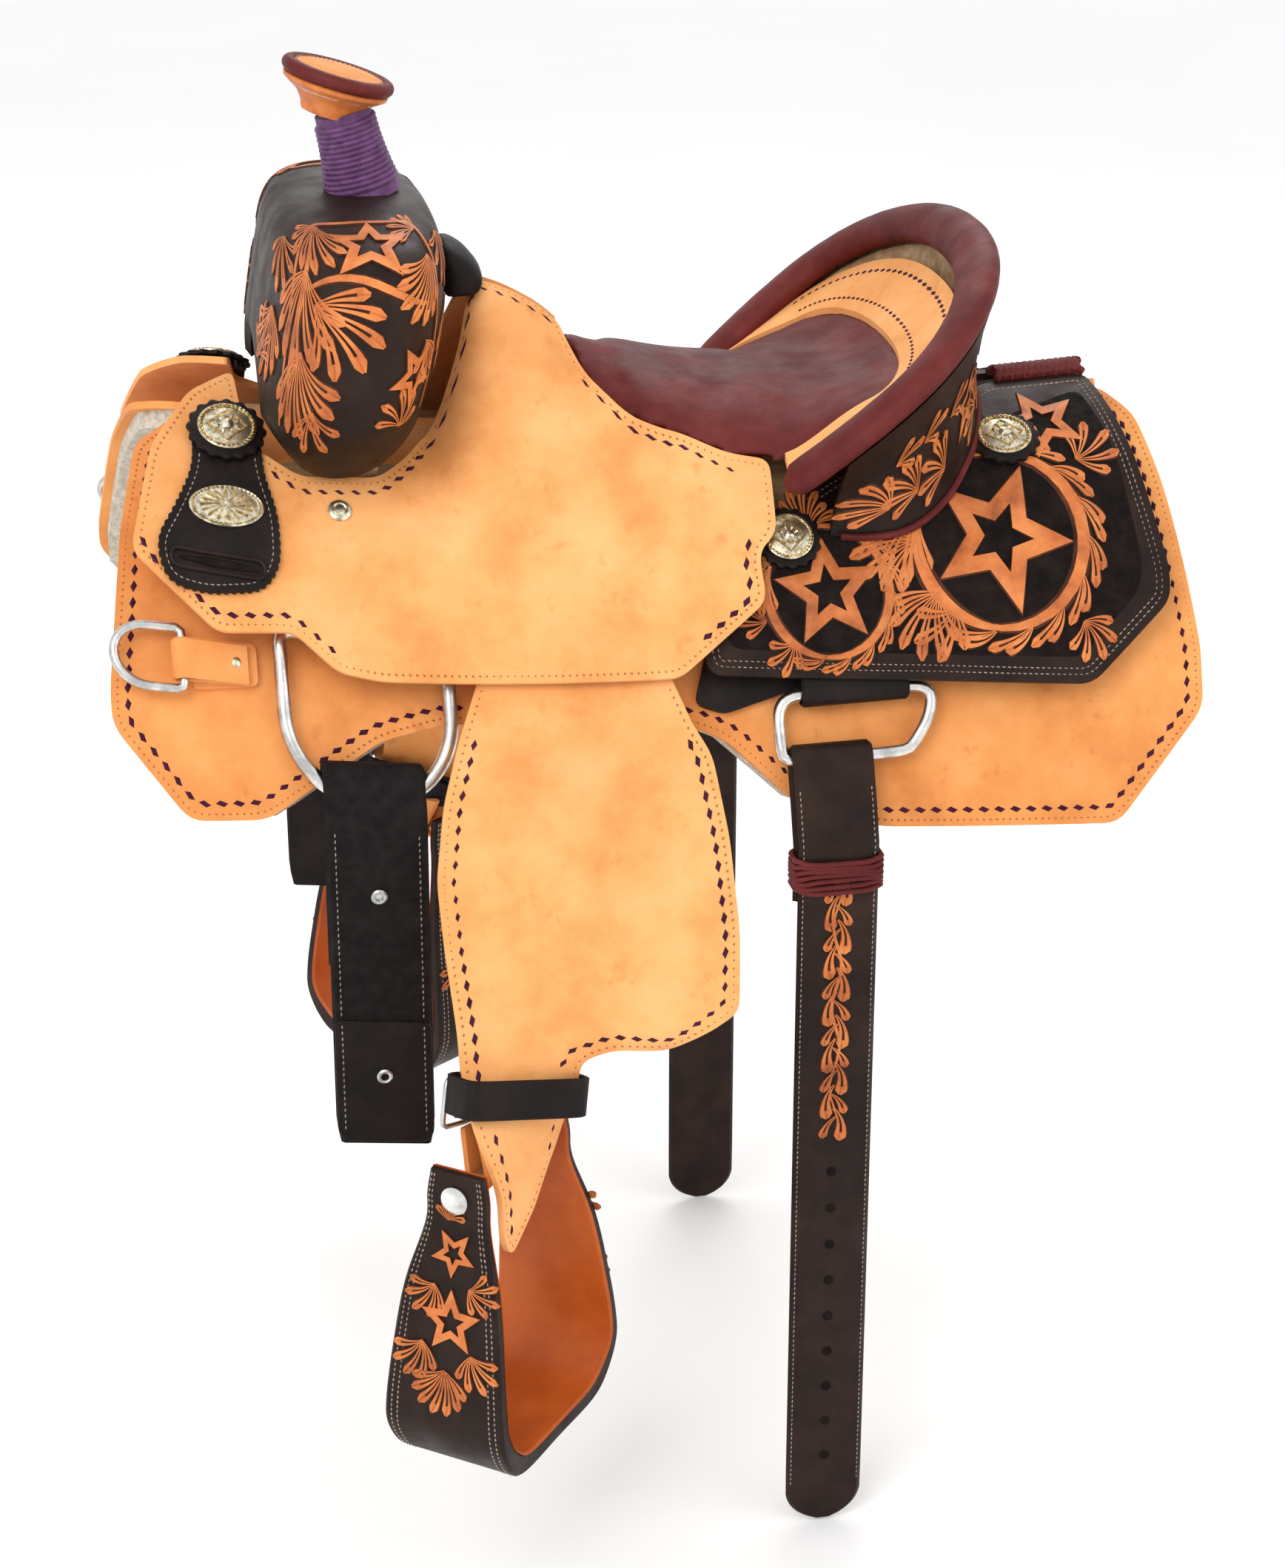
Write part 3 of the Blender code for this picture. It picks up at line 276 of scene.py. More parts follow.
def seat_height(x, y):
    """Height of the seat's top surface: crowned in front, dished inside the rim."""
    y = abs(y)
    if x < RIM_END:
        return seat_curve(x, seat_fraction(x, y))[1]
    centre = along(SEAT_HEIGHT, x)
    rim = RIM_LOW + RIM_SLOPE * (x - RIM_END) - 0.010
    ratio = min(y / max(rim_half_width(x), 0.001), 1.0)
    return centre + (rim - centre) * ratio ** 2.2


def rim_point(t):
    """A point on the cantle rim; t runs from -1 (left arm's end) to 1 (right arm's end)."""
    ratio = abs(t) / RIM_ARC
    if ratio <= 1:
        angle = ratio * math.pi / 2
        x = RIM_TURN + (RIM_BACK - RIM_TURN) * math.cos(angle) ** (2 / RIM_POWER)
        y = RIM_HALF_WIDTH * math.sin(angle) ** (2 / RIM_POWER)
    else:
        part = (abs(t) - RIM_ARC) / (1 - RIM_ARC)
        x = RIM_TURN + (RIM_END - RIM_TURN) * part
        y = RIM_HALF_WIDTH + (RIM_END_Y - RIM_HALF_WIDTH) * part ** 2
    return Vector((x, math.copysign(y, t), RIM_LOW + RIM_SLOPE * (x - RIM_END)))


def rim_frame(t):
    """Rim point, outward direction in the rim's own plane, and that plane's normal."""
    point = rim_point(t)
    tangent = (rim_point(min(t + 0.01, 1.0)) - rim_point(max(t - 0.01, -1.0))).normalized()
    normal = Vector((-RIM_SLOPE, 0, 1)).normalized()
    return point, tangent.cross(normal).normalized(), normal


# ---------------------------------------------------------------- materials

def new_material(name, rough, metal=0.0):
    made = bpy.data.materials.new(name)
    made.use_nodes = True
    shader = made.node_tree.nodes["Principled BSDF"]
    shader.inputs["Roughness"].default_value = rough
    shader.inputs["Metallic"].default_value = metal
    return made, made.node_tree, shader


def noise_node(tree, scale, detail=6.0, rough=0.55, stretch=(1, 1, 1)):
    """Noise over the piece's own coordinates, in features per metre."""
    coords = tree.nodes.new("ShaderNodeTexCoord")
    mapping = tree.nodes.new("ShaderNodeMapping")
    mapping.inputs["Scale"].default_value = stretch
    texture = tree.nodes.new("ShaderNodeTexNoise")
    texture.inputs["Scale"].default_value = scale
    texture.inputs["Detail"].default_value = detail
    texture.inputs["Roughness"].default_value = rough
    tree.links.new(coords.outputs["Object"], mapping.inputs["Vector"])
    tree.links.new(mapping.outputs["Vector"], texture.inputs["Vector"])
    return texture.outputs["Fac"]


def ramp_node(tree, value, stops):
    ramp = tree.nodes.new("ShaderNodeValToRGB")
    elements = ramp.color_ramp.elements
    while len(elements) < len(stops):
        elements.new(0.5)
    for element, (place, colour) in zip(elements, stops):
        element.position = place
        element.color = (*colour, 1.0)
    tree.links.new(value, ramp.inputs["Fac"])
    return ramp.outputs["Color"]


def blend_colours(tree, factor, first, second, mode="MIX"):
    mixer = tree.nodes.new("ShaderNodeMix")
    mixer.data_type = "RGBA"
    mixer.blend_type = mode
    if isinstance(factor, float):
        mixer.inputs[0].default_value = factor
    else:
        tree.links.new(factor, mixer.inputs[0])
    tree.links.new(first, mixer.inputs[6])
    tree.links.new(second, mixer.inputs[7])
    return mixer.outputs[2]


def add_bump(tree, shader, heights):
    """Chain bumps; heights is a list of (socket, strength, distance)."""
    before = None
    for socket, strength, distance in heights:
        bump = tree.nodes.new("ShaderNodeBump")
        bump.inputs["Strength"].default_value = strength
        bump.inputs["Distance"].default_value = distance
        tree.links.new(socket, bump.inputs["Height"])
        if before:
            tree.links.new(before, bump.inputs["Normal"])
        before = bump.outputs["Normal"]
    tree.links.new(before, shader.inputs["Normal"])


def grain_node(tree, scale):
    """Leather's fine cells."""
    coords = tree.nodes.new("ShaderNodeTexCoord")
    cells = tree.nodes.new("ShaderNodeTexVoronoi")
    cells.feature = "DISTANCE_TO_EDGE"
    cells.inputs["Scale"].default_value = scale
    tree.links.new(coords.outputs["Object"], cells.inputs["Vector"])
    return cells.outputs["Distance"]


def leather(name, tones, rough=0.5, mottle=22.0, grain=700.0, relief=0.25, nap=0.0, spots=None,
            gloss=0.5):
    """Leather from dark, middle and light tones; nap gives the fuzz of roughout."""
    made, tree, shader = new_material(name, rough)
    shader.inputs["Specular IOR Level"].default_value = gloss
    dark, middle, light = tones
    fine = noise_node(tree, mottle, 9.0, 0.62)
    broad = noise_node(tree, mottle * 0.22, 3.0)
    colour = ramp_node(tree, fine, ((0.33, dark), (0.5, middle), (0.68, light)))
    wide = ramp_node(tree, broad, ((0.35, dark), (0.55, middle), (0.72, light)))
    colour = blend_colours(tree, 0.4, colour, wide)
    if spots:
        marks = ramp_node(tree, noise_node(tree, mottle * 3.1, 4.0, 0.7, (1.0, 1.0, 0.6)),
                          ((0.60, (0, 0, 0)), (0.70, (1, 1, 1))))
        stain = tree.nodes.new("ShaderNodeRGB")
        stain.outputs[0].default_value = (*spots, 1.0)
        share = tree.nodes.new("ShaderNodeMath")
        share.operation = "MULTIPLY"
        share.inputs[1].default_value = 0.35
        tree.links.new(marks, share.inputs[0])
        colour = blend_colours(tree, share.outputs[0], colour, stain.outputs[0])
    tree.links.new(colour, shader.inputs["Base Color"])
    wear = ramp_node(tree, noise_node(tree, mottle * 1.7, 5.0),
                     ((0.35, (rough - 0.08,) * 3), (0.65, (min(rough + 0.10, 1.0),) * 3)))
    tree.links.new(wear, shader.inputs["Roughness"])
    if nap:
        shader.inputs["Sheen Weight"].default_value = nap
        shader.inputs["Sheen Roughness"].default_value = 0.5
        shader.inputs["Specular IOR Level"].default_value = 0.2
    add_bump(tree, shader, [(grain_node(tree, grain), relief, 0.0006),
                            (noise_node(tree, 90.0, 6.0, 0.6), relief * 0.8, 0.0012)])
    return made


def woven(name, colour, light, ribs, rough=0.75):
    """Webbing or cord: fine ribs along and across."""
    made, tree, shader = new_material(name, rough)
    coords = tree.nodes.new("ShaderNodeTexCoord")
    waves = []
    for direction in ("X", "Z"):
        wave = tree.nodes.new("ShaderNodeTexWave")
        wave.wave_type = "BANDS"
        wave.bands_direction = direction
        wave.inputs["Scale"].default_value = ribs
        wave.inputs["Distortion"].default_value = 0.6
        tree.links.new(coords.outputs["Object"], wave.inputs["Vector"])
        waves.append(wave.outputs["Fac"])
    fuzz = noise_node(tree, 120.0, 5.0)
    tree.links.new(ramp_node(tree, fuzz, ((0.35, colour), (0.7, light))),
                   shader.inputs["Base Color"])
    add_bump(tree, shader, [(waves[0], 0.3, 0.0004), (waves[1], 0.3, 0.0004), (fuzz, 0.2, 0.0006)])
    return made


def metal(name, dark, light, rough, patina=60.0):
    made, tree, shader = new_material(name, rough, 1.0)
    fine = noise_node(tree, patina, 6.0, 0.6)
    tree.links.new(ramp_node(tree, fine, ((0.38, dark), (0.62, light))),
                   shader.inputs["Base Color"])
    wear = ramp_node(tree, fine, ((0.35, (rough + 0.15,) * 3), (0.65, (rough - 0.05,) * 3)))
    tree.links.new(wear, shader.inputs["Roughness"])
    add_bump(tree, shader, [(noise_node(tree, 400.0, 4.0), 0.08, 0.0003)])
    return made


def wooden(name):
    made, tree, shader = new_material(name, 0.55)
    rings = noise_node(tree, 30.0, 6.0, 0.6, (0.25, 3.0, 3.0))
    tree.links.new(ramp_node(tree, rings, ((0.35, (0.25, 0.14, 0.06)), (0.65, (0.50, 0.33, 0.17)))),
                   shader.inputs["Base Color"])
    add_bump(tree, shader, [(rings, 0.2, 0.0006)])
    return made


def woolly(name):
    made, tree, shader = new_material(name, 0.95)
    tufts = noise_node(tree, 160.0, 8.0, 0.7)
    tree.links.new(ramp_node(tree, tufts, ((0.35, (0.42, 0.34, 0.24)), (0.6, (0.80, 0.72, 0.58)))),
                   shader.inputs["Base Color"])
    shader.inputs["Sheen Weight"].default_value = 0.5
    add_bump(tree, shader, [(tufts, 0.9, 0.004), (noise_node(tree, 520.0, 4.0), 0.6, 0.0015)])
    return made


TAN = leather("tan_roughout", ((0.66, 0.25, 0.070), (0.88, 0.40, 0.135), (0.96, 0.51, 0.21)), 0.85,
              20.0,
              900.0, 0.25, 0.05, (0.60, 0.19, 0.045))
SKIRTING = leather("skirting_leather",
                   ((0.58, 0.19, 0.045), (0.80, 0.31, 0.085), (0.92, 0.42, 0.14)), 0.66, 17.0,
                   800.0, 0.22, 0.0, (0.48, 0.11, 0.025), 0.25)
CHOCOLATE = leather("chocolate_leather",
                    ((0.009, 0.004, 0.003), (0.019, 0.009, 0.006), (0.036, 0.018, 0.012)),
                    0.46, 30.0, 620.0, 0.35, gloss=0.16)
MATTED = leather("matted_background",
                 ((0.004, 0.003, 0.003), (0.010, 0.006, 0.005), (0.022, 0.013, 0.010)),
                 0.70, 90.0, 420.0, 0.9, gloss=0.08)
TOOLED = leather("tooled_orange", ((0.24, 0.055, 0.014), (0.60, 0.165, 0.038), (0.82, 0.29, 0.08)),
                 0.45, 48.0,
                 900.0, 0.3, gloss=0.3)
BURNT = leather("burnt_outline", ((0.030, 0.010, 0.006), (0.07, 0.022, 0.010), (0.12, 0.04, 0.016)),
                0.55, 90.0,
                gloss=0.1)
CARVED = (TOOLED, BURNT)
MAROON = leather("maroon_seat_leather",
                 ((0.060, 0.009, 0.009), (0.115, 0.018, 0.017), (0.18, 0.034, 0.031)),
                 0.52, 26.0, 520.0, 0.35, gloss=0.12)
BLACK = leather("black_leather",
                ((0.005, 0.003, 0.003), (0.010, 0.006, 0.005), (0.022, 0.014, 0.011)), 0.50,
                30.0, 600.0, 0.35, gloss=0.16)
LINER = leather("stirrup_lining",
                ((0.28, 0.045, 0.006), (0.46, 0.088, 0.011), (0.60, 0.145, 0.022)), 0.42, 14.0,
                800.0, 0.15, gloss=0.25)
LACE = leather("buckstitch_lace",
               ((0.028, 0.005, 0.016), (0.055, 0.009, 0.028), (0.09, 0.018, 0.045)), 0.6, 90.0,
               gloss=0.1)
STAMP = leather("edge_stamping", ((0.30, 0.09, 0.02), (0.42, 0.14, 0.04), (0.50, 0.18, 0.06)), 0.6,
                90.0)
THREAD = woven("pale_thread", (0.30, 0.22, 0.16), (0.55, 0.44, 0.34), 900.0)
CORD = woven("purple_cord", (0.075, 0.020, 0.085), (0.17, 0.06, 0.19), 500.0, 0.6)
NYLON = woven("black_nylon", (0.004, 0.003, 0.003), (0.014, 0.010, 0.010), 420.0, 0.7)
NYLON.node_tree.nodes["Principled BSDF"].inputs["Specular IOR Level"].default_value = 0.15
STEEL = metal("brushed_steel", (0.42, 0.42, 0.41), (0.78, 0.78, 0.76), 0.24)
SILVER = metal("antique_silver", (0.34, 0.29, 0.18), (0.86, 0.80, 0.62), 0.28, 300.0)
GOLD = metal("antique_gold", (0.30, 0.18, 0.06), (0.80, 0.60, 0.28), 0.30, 300.0)
WOOD = wooden("tree_wood")
FLEECE = woolly("fleece")


# ---------------------------------------------------------------- mesh tools

def add(name, mesh_data, material, body="saddle", nodes=(), bevel=0.0, angle=35):
    """Finish a bmesh as a piece that rides on a body and stands for CAD nodes."""
    bmesh.ops.remove_doubles(mesh_data, verts=mesh_data.verts, dist=1e-6)
    bmesh.ops.recalc_face_normals(mesh_data, faces=mesh_data.faces)
    mesh = bpy.data.meshes.new(name)
    mesh_data.to_mesh(mesh)
    mesh_data.free()
    for finish in material if isinstance(material, tuple) else (material,):
        mesh.materials.append(finish)
    mesh.shade_smooth()
    mesh.set_sharp_from_angle(angle=math.radians(angle))
    made = bpy.data.objects.new(name, mesh)
    bpy.context.scene.collection.objects.link(made)
    if bevel:
        rounding = made.modifiers.new("edge", "BEVEL")
        rounding.width = bevel
        rounding.segments = 2
        rounding.limit_method = "ANGLE"
        rounding.angle_limit = math.radians(50)
    if body:
        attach(made, body)
    if nodes:
        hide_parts(*nodes)
    return made


def rounded(outline, radius=0.008, steps=4):
    """Round each corner of an outline."""
    points = []
    count = len(outline)
    for i, corner in enumerate(outline):
        before, after = outline[i - 1], outline[(i + 1) % count]
        ends = []
        for other in (before, after):
            length = math.hypot(other[0] - corner[0], other[1] - corner[1])
            share = min(radius / length, 0.48)
            ends.append((mix(corner[0], other[0], share), mix(corner[1], other[1], share)))
        for k in range(steps + 1):
            t = k / steps
            a = (mix(ends[0][0], corner[0], t), mix(ends[0][1], corner[1], t))
            b = (mix(corner[0], ends[1][0], t), mix(corner[1], ends[1][1], t))
            points.append((mix(a[0], b[0], t), mix(a[1], b[1], t)))
    return points


def resample(points, spacing, closed=True):
    """Points at even spacing along a line."""
    line = list(points) + ([points[0]] if closed else [])
    lengths = [math.hypot(b[0] - a[0], b[1] - a[1]) for a, b in zip(line, line[1:])]
    total = sum(lengths)
    count = max(int(round(total / spacing)), 2)
    made = []
    i, run = 0, 0.0
    for k in range(count if closed else count + 1):
        goal = total * k / count
        while i < len(lengths) - 1 and run + lengths[i] < goal:
            run += lengths[i]
            i += 1
        part = (goal - run) / lengths[i] if lengths[i] else 0.0
        made.append((mix(line[i][0], line[i + 1][0], part), mix(line[i][1], line[i + 1][1], part)))
    return made


def area(outline):
    return sum(a[0] * b[1] - b[0] * a[1] for a, b in zip(outline, outline[1:] + outline[:1])) / 2


def inset(outline, distance):
    """The line that runs inside an outline at a distance from its edge."""
    dense = resample(outline, 0.004)
    turn = 1 if area(dense) > 0 else -1
    count = len(dense)
    moved = []
    for i, point in enumerate(dense):
        before, after = dense[i - 2], dense[(i + 2) % count]
        dx, dy = after[0] - before[0], after[1] - before[1]
        length = math.hypot(dx, dy) or 1.0
        moved.append((point[0] - turn * dy / length * distance,
                      point[1] + turn * dx / length * distance))
    return moved


def ripple(x, s):
    """The slight unevenness of hand-cut leather."""
    return 0.0005 * noise.noise(Vector((x * 14, s * 14, 0.3)))


def sheet(outline, layer, side, place, cell=0.007):
    """A thick sheet over an (x, s) outline, cut finely enough to follow a curved surface."""
    flat = bmesh.new()
    flat.faces.new([flat.verts.new((x, s, 0.0)) for x, s in outline])
    xs = [p[0] for p in outline]
    ss = [p[1] for p in outline]
    cuts = []
    x = min(xs) + cell / 2
    while x < max(xs):
        cuts.append(((x, 0, 0), (1, 0, 0)))
        x += cell
    s = min(ss) + cell / 2
    while s < max(ss):
        cuts.append(((0, s, 0), (0, 1, 0)))
        s += cell
    for where, across in cuts:
        everything = flat.verts[:] + flat.edges[:] + flat.faces[:]
        bmesh.ops.bisect_plane(flat, geom=everything, dist=1e-7, plane_co=where, plane_no=across)
    bmesh.ops.remove_doubles(flat, verts=flat.verts, dist=2e-5)
    solid = bmesh.new()
    skins = []
    for h in layer:
        skins.append({v: solid.verts.new(place(v.co.x, v.co.y, h + ripple(v.co.x, v.co.y), side))
                      for v in flat.verts})
    for skin in skins:
        for face in flat.faces:
            solid.faces.new([skin[v] for v in face.verts])
    for edge in flat.edges:
        if edge.is_boundary:
            a, b = edge.verts
            solid.faces.new([skins[0][a], skins[0][b], skins[1][b], skins[1][a]])
    flat.free()
    return solid


def loft(rings, closed=False):
    """A skin through rings of points of equal length, with its ends capped."""
    mesh = bmesh.new()
    rows = [[mesh.verts.new(p) for p in ring] for ring in rings]
    pairs = list(zip(rows, rows[1:]))
    if closed:
        pairs.append((rows[-1], rows[0]))
    for low, high in pairs:
        size = len(low)
        for k in range(size):
            mesh.faces.new([low[k], low[(k + 1) % size], high[(k + 1) % size], high[k]])
    if not closed:
        mesh.faces.new(rows[0])
        mesh.faces.new(list(reversed(rows[-1])))
    return mesh


def plate(outline, spacing, at, low, high):
    """A flat piece over an outline, between two heights above a surface given by at(u, v, h)."""
    mesh = bmesh.new()
    skins = [[mesh.verts.new(at(u, v, h)) for u, v in resample(outline, spacing)] for h in (low,
                                                                                            high)]
    for skin in skins:
        mesh.faces.new(skin)
    for k in range(len(skins[0])):
        after = (k + 1) % len(skins[0])
        mesh.faces.new([skins[0][k], skins[0][after], skins[1][after], skins[1][k]])
    return mesh


def circle(centre, radius, sides, first, second):
    return [centre + radius * (math.cos(a) * first + math.sin(a) * second)
            for a in (math.tau * k / sides for k in range(sides))]


def tube(path, radius, sides=10, closed=False, across=Vector((0, 0, 1))):
    """A round bar along a path; radius is a number or a function of the share along it."""
    rings = []
    count = len(path)
    for i, point in enumerate(path):
        before = path[(i - 1) % count] if closed or i > 0 else point
        after = path[(i + 1) % count] if closed or i < count - 1 else point
        tangent = (after - before).normalized()
        first = across.cross(tangent).normalized()
        size = radius(i / (count - 1)) if callable(radius) else radius
        rings.append(circle(point, size, sides, first, tangent.cross(first)))
    return loft(rings, closed)


def ribbon(path, half_widths, thickness, across, crown=0.0):
    """A flat strap with rounded edges; across is its width direction, one or one for each point."""
    rings = []
    for i, point in enumerate(path):
        before, after = path[max(i - 1, 0)], path[min(i + 1, len(path) - 1)]
        tangent = (after - before).normalized()
        wide = across[i] if isinstance(across, list) else across
        outward = tangent.cross(wide).normalized()
        half = half_widths[i] if isinstance(half_widths, list) else half_widths
        thick = thickness / 2
        edge = min(0.6 * thickness, half * 0.3)
        shape = ((-half, 0), (-half + edge, thick), (-half * 0.4, thick + crown),
                 (half * 0.4, thick + crown),
                 (half - edge, thick), (half, 0), (half - edge, -thick), (-half + edge, -thick))
        rings.append([point + wide * a + outward * b for a, b in shape])
    return loft(rings)


def turned(profile, centre, axis, sides=40):
    spin = axis.to_track_quat("Z", "Y").to_matrix()
    return loft([circle(centre + axis * height, radius, sides, spin.col[0], spin.col[1])
                 for radius, height in profile])


def join(parts):
    """Several bmeshes as one."""
    whole = bmesh.new()
    for part in parts:
        copies = [whole.verts.new(v.co) for v in part.verts]
        part.verts.index_update()
        for face in part.faces:
            copy = whole.faces.new([copies[v.index] for v in face.verts])
            copy.material_index = face.material_index
        part.free()
    return whole


# ---------------------------------------------------------------- stitching and tooling

# Spacing, length, width and height of a stitch.
BUCKSTITCH = (0.0102, 0.0076, 0.0040, 0.0011)
WEB_STITCH = (0.0042, 0.0030, 0.0010, 0.0006)
STAMPED_DOT = (0.0042, 0.0018, 0.0018, 0.0005)
FENDER_DOT = (0.0048, 0.0020, 0.0020, 0.0005)
JOCKEY_THREAD = (0.0036, 0.0028, 0.0010, 0.0006)
BILLET_THREAD = (0.0036, 0.0027, 0.0009, 0.0005)
KEEPER_THREAD = (0.0036, 0.0027, 0.0009, 0.0006)
SWELL_LACING = (0.0098, 0.0074, 0.0030, 0.0010)
SEAM_LACING = (0.0098, 0.0074, 0.0030, 0.0009)
INLAY_LACING = (0.0078, 0.0060, 0.0026, 0.0008)

RAISED = 0.0001         # where a carved edge meets the leather
ROOT = 0.0003           # how far a stitch or a carving reaches into the leather
STAR_INNER = 0.45       # a star's inner corners and its hollow, as shares of its radius
STAR_HOLLOW = 0.42

def diamond(mesh, rim, top, under):
    """Eight faces between four rim points and a point above and below them."""
    rim = [mesh.verts.new(point) for point in rim]
    top, under = mesh.verts.new(top), mesh.verts.new(under)
    for k in range(4):
        mesh.faces.new([rim[k], rim[(k + 1) % 4], top])
        mesh.faces.new([rim[k], rim[(k + 1) % 4], under])


def pad(mesh, at, u, v, heading, length, width, height):
    """A small diamond-shaped pad, domed, lying on a surface given by at(u, v, h)."""
    du, dv = math.cos(heading), math.sin(heading)
    rim = [at(u + a * du - b * dv, v + a * dv + b * du, 0.0)
           for a, b in ((length / 2, 0), (length * 0.12, width / 2),
                        (-length / 2, 0), (-length * 0.12, -width / 2))]
    diamond(mesh, rim, at(u, v, height), at(u, v, -ROOT))


def stitch_row(line, at, spacing, length, width, height, closed=True, slant=0.0):
    """Pads along a line of (u, v) points."""
    mesh = bmesh.new()
    points = resample(line, spacing, closed)
    count = len(points)
    for i, (u, v) in enumerate(points):
        before = points[i - 1] if closed or i > 0 else points[i]
        after = points[(i + 1) % count] if closed or i < count - 1 else points[i]
        heading = math.atan2(after[1] - before[1], after[0] - before[0]) + slant
        pad(mesh, at, u, v, heading, length, width, height)
    return mesh


def leaf(mesh, at, start, heading, length, curl, width, height=0.0011):
    """A tooled leaf: a curved teardrop with a vein, widest and round at its far end."""
    steps = 9
    u, v = start
    rows = []
    for i in range(steps + 1):
        t = i / steps
        half = width * (0.16 + 0.84 * t ** 1.3)
        if t > 0.8:
            half *= math.sqrt(max(1 - ((t - 0.8) / 0.205) ** 2, 0.0))
        du, dv = math.cos(heading), math.sin(heading)
        shape = ((-half, RAISED), (-half * 0.78, height), (-half * 0.20, height),
                 (0.0, height * 0.2),
                 (half * 0.20, height), (half * 0.78, height), (half, RAISED), (0.0, -ROOT))
        rows.append([mesh.verts.new(at(u - b * dv, v + b * du, h)) for b, h in shape])
        u += du * length / steps
        v += dv * length / steps
        heading += curl / steps
    for i, (low, high) in enumerate(zip(rows, rows[1:])):
        for k in range(8):
            face = mesh.faces.new([low[k], low[(k + 1) % 8], high[(k + 1) % 8], high[k]])
            face.material_index = 1 if k in (0, 5) or (k in (2, 3) and 1 <= i <= 6) else 0
    mesh.faces.new(rows[0])
    mesh.faces.new(list(reversed(rows[-1])))
    return u, v


def stem(mesh, at, points, width, height=0.0010):
    """A raised stem along (u, v) points, tapering at both ends."""
    rows = []
    count = len(points)
    for i, (u, v) in enumerate(points):
        before, after = points[max(i - 1, 0)], points[min(i + 1, count - 1)]
        heading = math.atan2(after[1] - before[1], after[0] - before[0])
        half = width * (0.35 + 0.65 * math.sin(math.pi * i / (count - 1)))
        du, dv = math.cos(heading), math.sin(heading)
        shape = ((-half, RAISED), (-half * 0.6, height), (half * 0.6, height), (half, RAISED),
                 (0.0, -ROOT))
        rows.append([mesh.verts.new(at(u - b * dv, v + b * du, h)) for b, h in shape])
    for low, high in zip(rows, rows[1:]):
        for k in range(5):
            face = mesh.faces.new([low[k], low[(k + 1) % 5], high[(k + 1) % 5], high[k]])
            face.material_index = 1 if k in (0, 2) else 0
    mesh.faces.new(rows[0])
    mesh.faces.new(list(reversed(rows[-1])))


def star(mesh, at, centre, radius, turn, height=0.0012):
    """A raised five-pointed star with a star-shaped hollow."""
    def ring(scale, h):
        points = []
        for k in range(10):
            a = turn + math.pi * k / 5
            b = turn + math.pi * (k + 1) / 5
            ra = radius * (1.0 if k % 2 == 0 else STAR_INNER) * scale
            rb = radius * (1.0 if k % 2 == 1 else STAR_INNER) * scale
            for part in (0.0, 0.25, 0.5, 0.75):
                points.append((centre[0] + mix(ra * math.cos(a), rb * math.cos(b), part),
                               centre[1] + mix(ra * math.sin(a), rb * math.sin(b), part), h))
        return [mesh.verts.new(at(*p)) for p in points]
    rows = [ring(1.0, RAISED), ring(0.95, height), ring(STAR_HOLLOW * 1.06, height),
            ring(STAR_HOLLOW, RAISED), ring(0.75, -ROOT)]
    for i, (low, high) in enumerate(zip(rows, rows[1:] + rows[:1])):
        for k in range(40):
            face = mesh.faces.new([low[k], low[(k + 1) % 40], high[(k + 1) % 40], high[k]])
            face.material_index = 1 if i in (0, 2) else 0


def fan(mesh, at, start, first, last, count, length, curl, width):
    """Leaves spreading from one place, longest in the middle."""
    for k in range(count):
        share = k / (count - 1)
        reach = length * (0.72 + 0.28 * math.sin(math.pi * share))
        leaf(mesh, at, start, mix(first, last, share), reach, curl, width)


def wreath(mesh, at, centre, radius, size, width):
    """A star's crescent of stem with leaves sweeping off it, and fans at its two ends."""
    def spot(angle, reach=1.0):
        return (centre[0] + radius * reach * math.cos(angle),
                centre[1] + radius * reach * math.sin(angle))
    for start, end in ((-1.75, 1.9), (1.7, 3.6)):
        arc_line = [spot(mix(start, end, k / 18)) for k in range(19)]
        stem(mesh, at, arc_line, width * 1.1)
    for k in range(9):
        angle = -1.6 + 0.42 * k
        leaf(mesh, at, spot(angle, 1.04), angle + 0.75, size * 0.55, 1.1, width)
        leaf(mesh, at, spot(angle, 1.04), angle + 1.25, size * 0.75, 0.5, width * 0.8)
    for row in (
            (spot(-1.75), -3.0, -1.1, 6, size, 0.7, width),
            (spot(-2.6), -3.7, -2.0, 5, size * 1.1, 0.6, width),
            (spot(3.5), 1.7, 3.6, 6, size * 1.15, -0.5, width),
            (spot(2.3), 1.1, 2.9, 4, size * 0.8, 0.7, width)):
        fan(mesh, at, *row)


# ---------------------------------------------------------------- tree, skirts and linings

SKIRT_OUTLINE = [
    (-0.255, 0.004), (-0.300, 0.014), (-0.325, 0.040), (-0.338, 0.105), (-0.350, 0.200),
    (-0.350, 0.220),
    (-0.308, 0.272), (-0.262, 0.268), (-0.215, 0.235), (-0.190, 0.218), (-0.150, 0.207),
    (0.000, 0.212),
    (0.022, 0.222), (0.062, 0.262), (0.115, 0.282), (0.268, 0.296), (0.328, 0.232), (0.330, 0.195),
    (0.322, 0.090), (0.316, 0.035), (0.300, 0.004)]


def on(place, side, top):
    """A (u, v, h) mapping that lies on a leather's outer surface."""
    return lambda x, s, h: place(x, s, top + h, side)


def edge_dots(name, outline, place, side, top, body, depth=0.0038):
    """The stamped dotted line round an edge."""
    mesh = stitch_row(inset(outline, depth), on(place, side, top), *STAMPED_DOT)
    return add(name, mesh, STAMP, body)


def carry(node, material):
    """Keep a CAD solid and give it a finish."""
    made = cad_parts[node]
    made.data.materials.clear()
    made.data.materials.append(material)


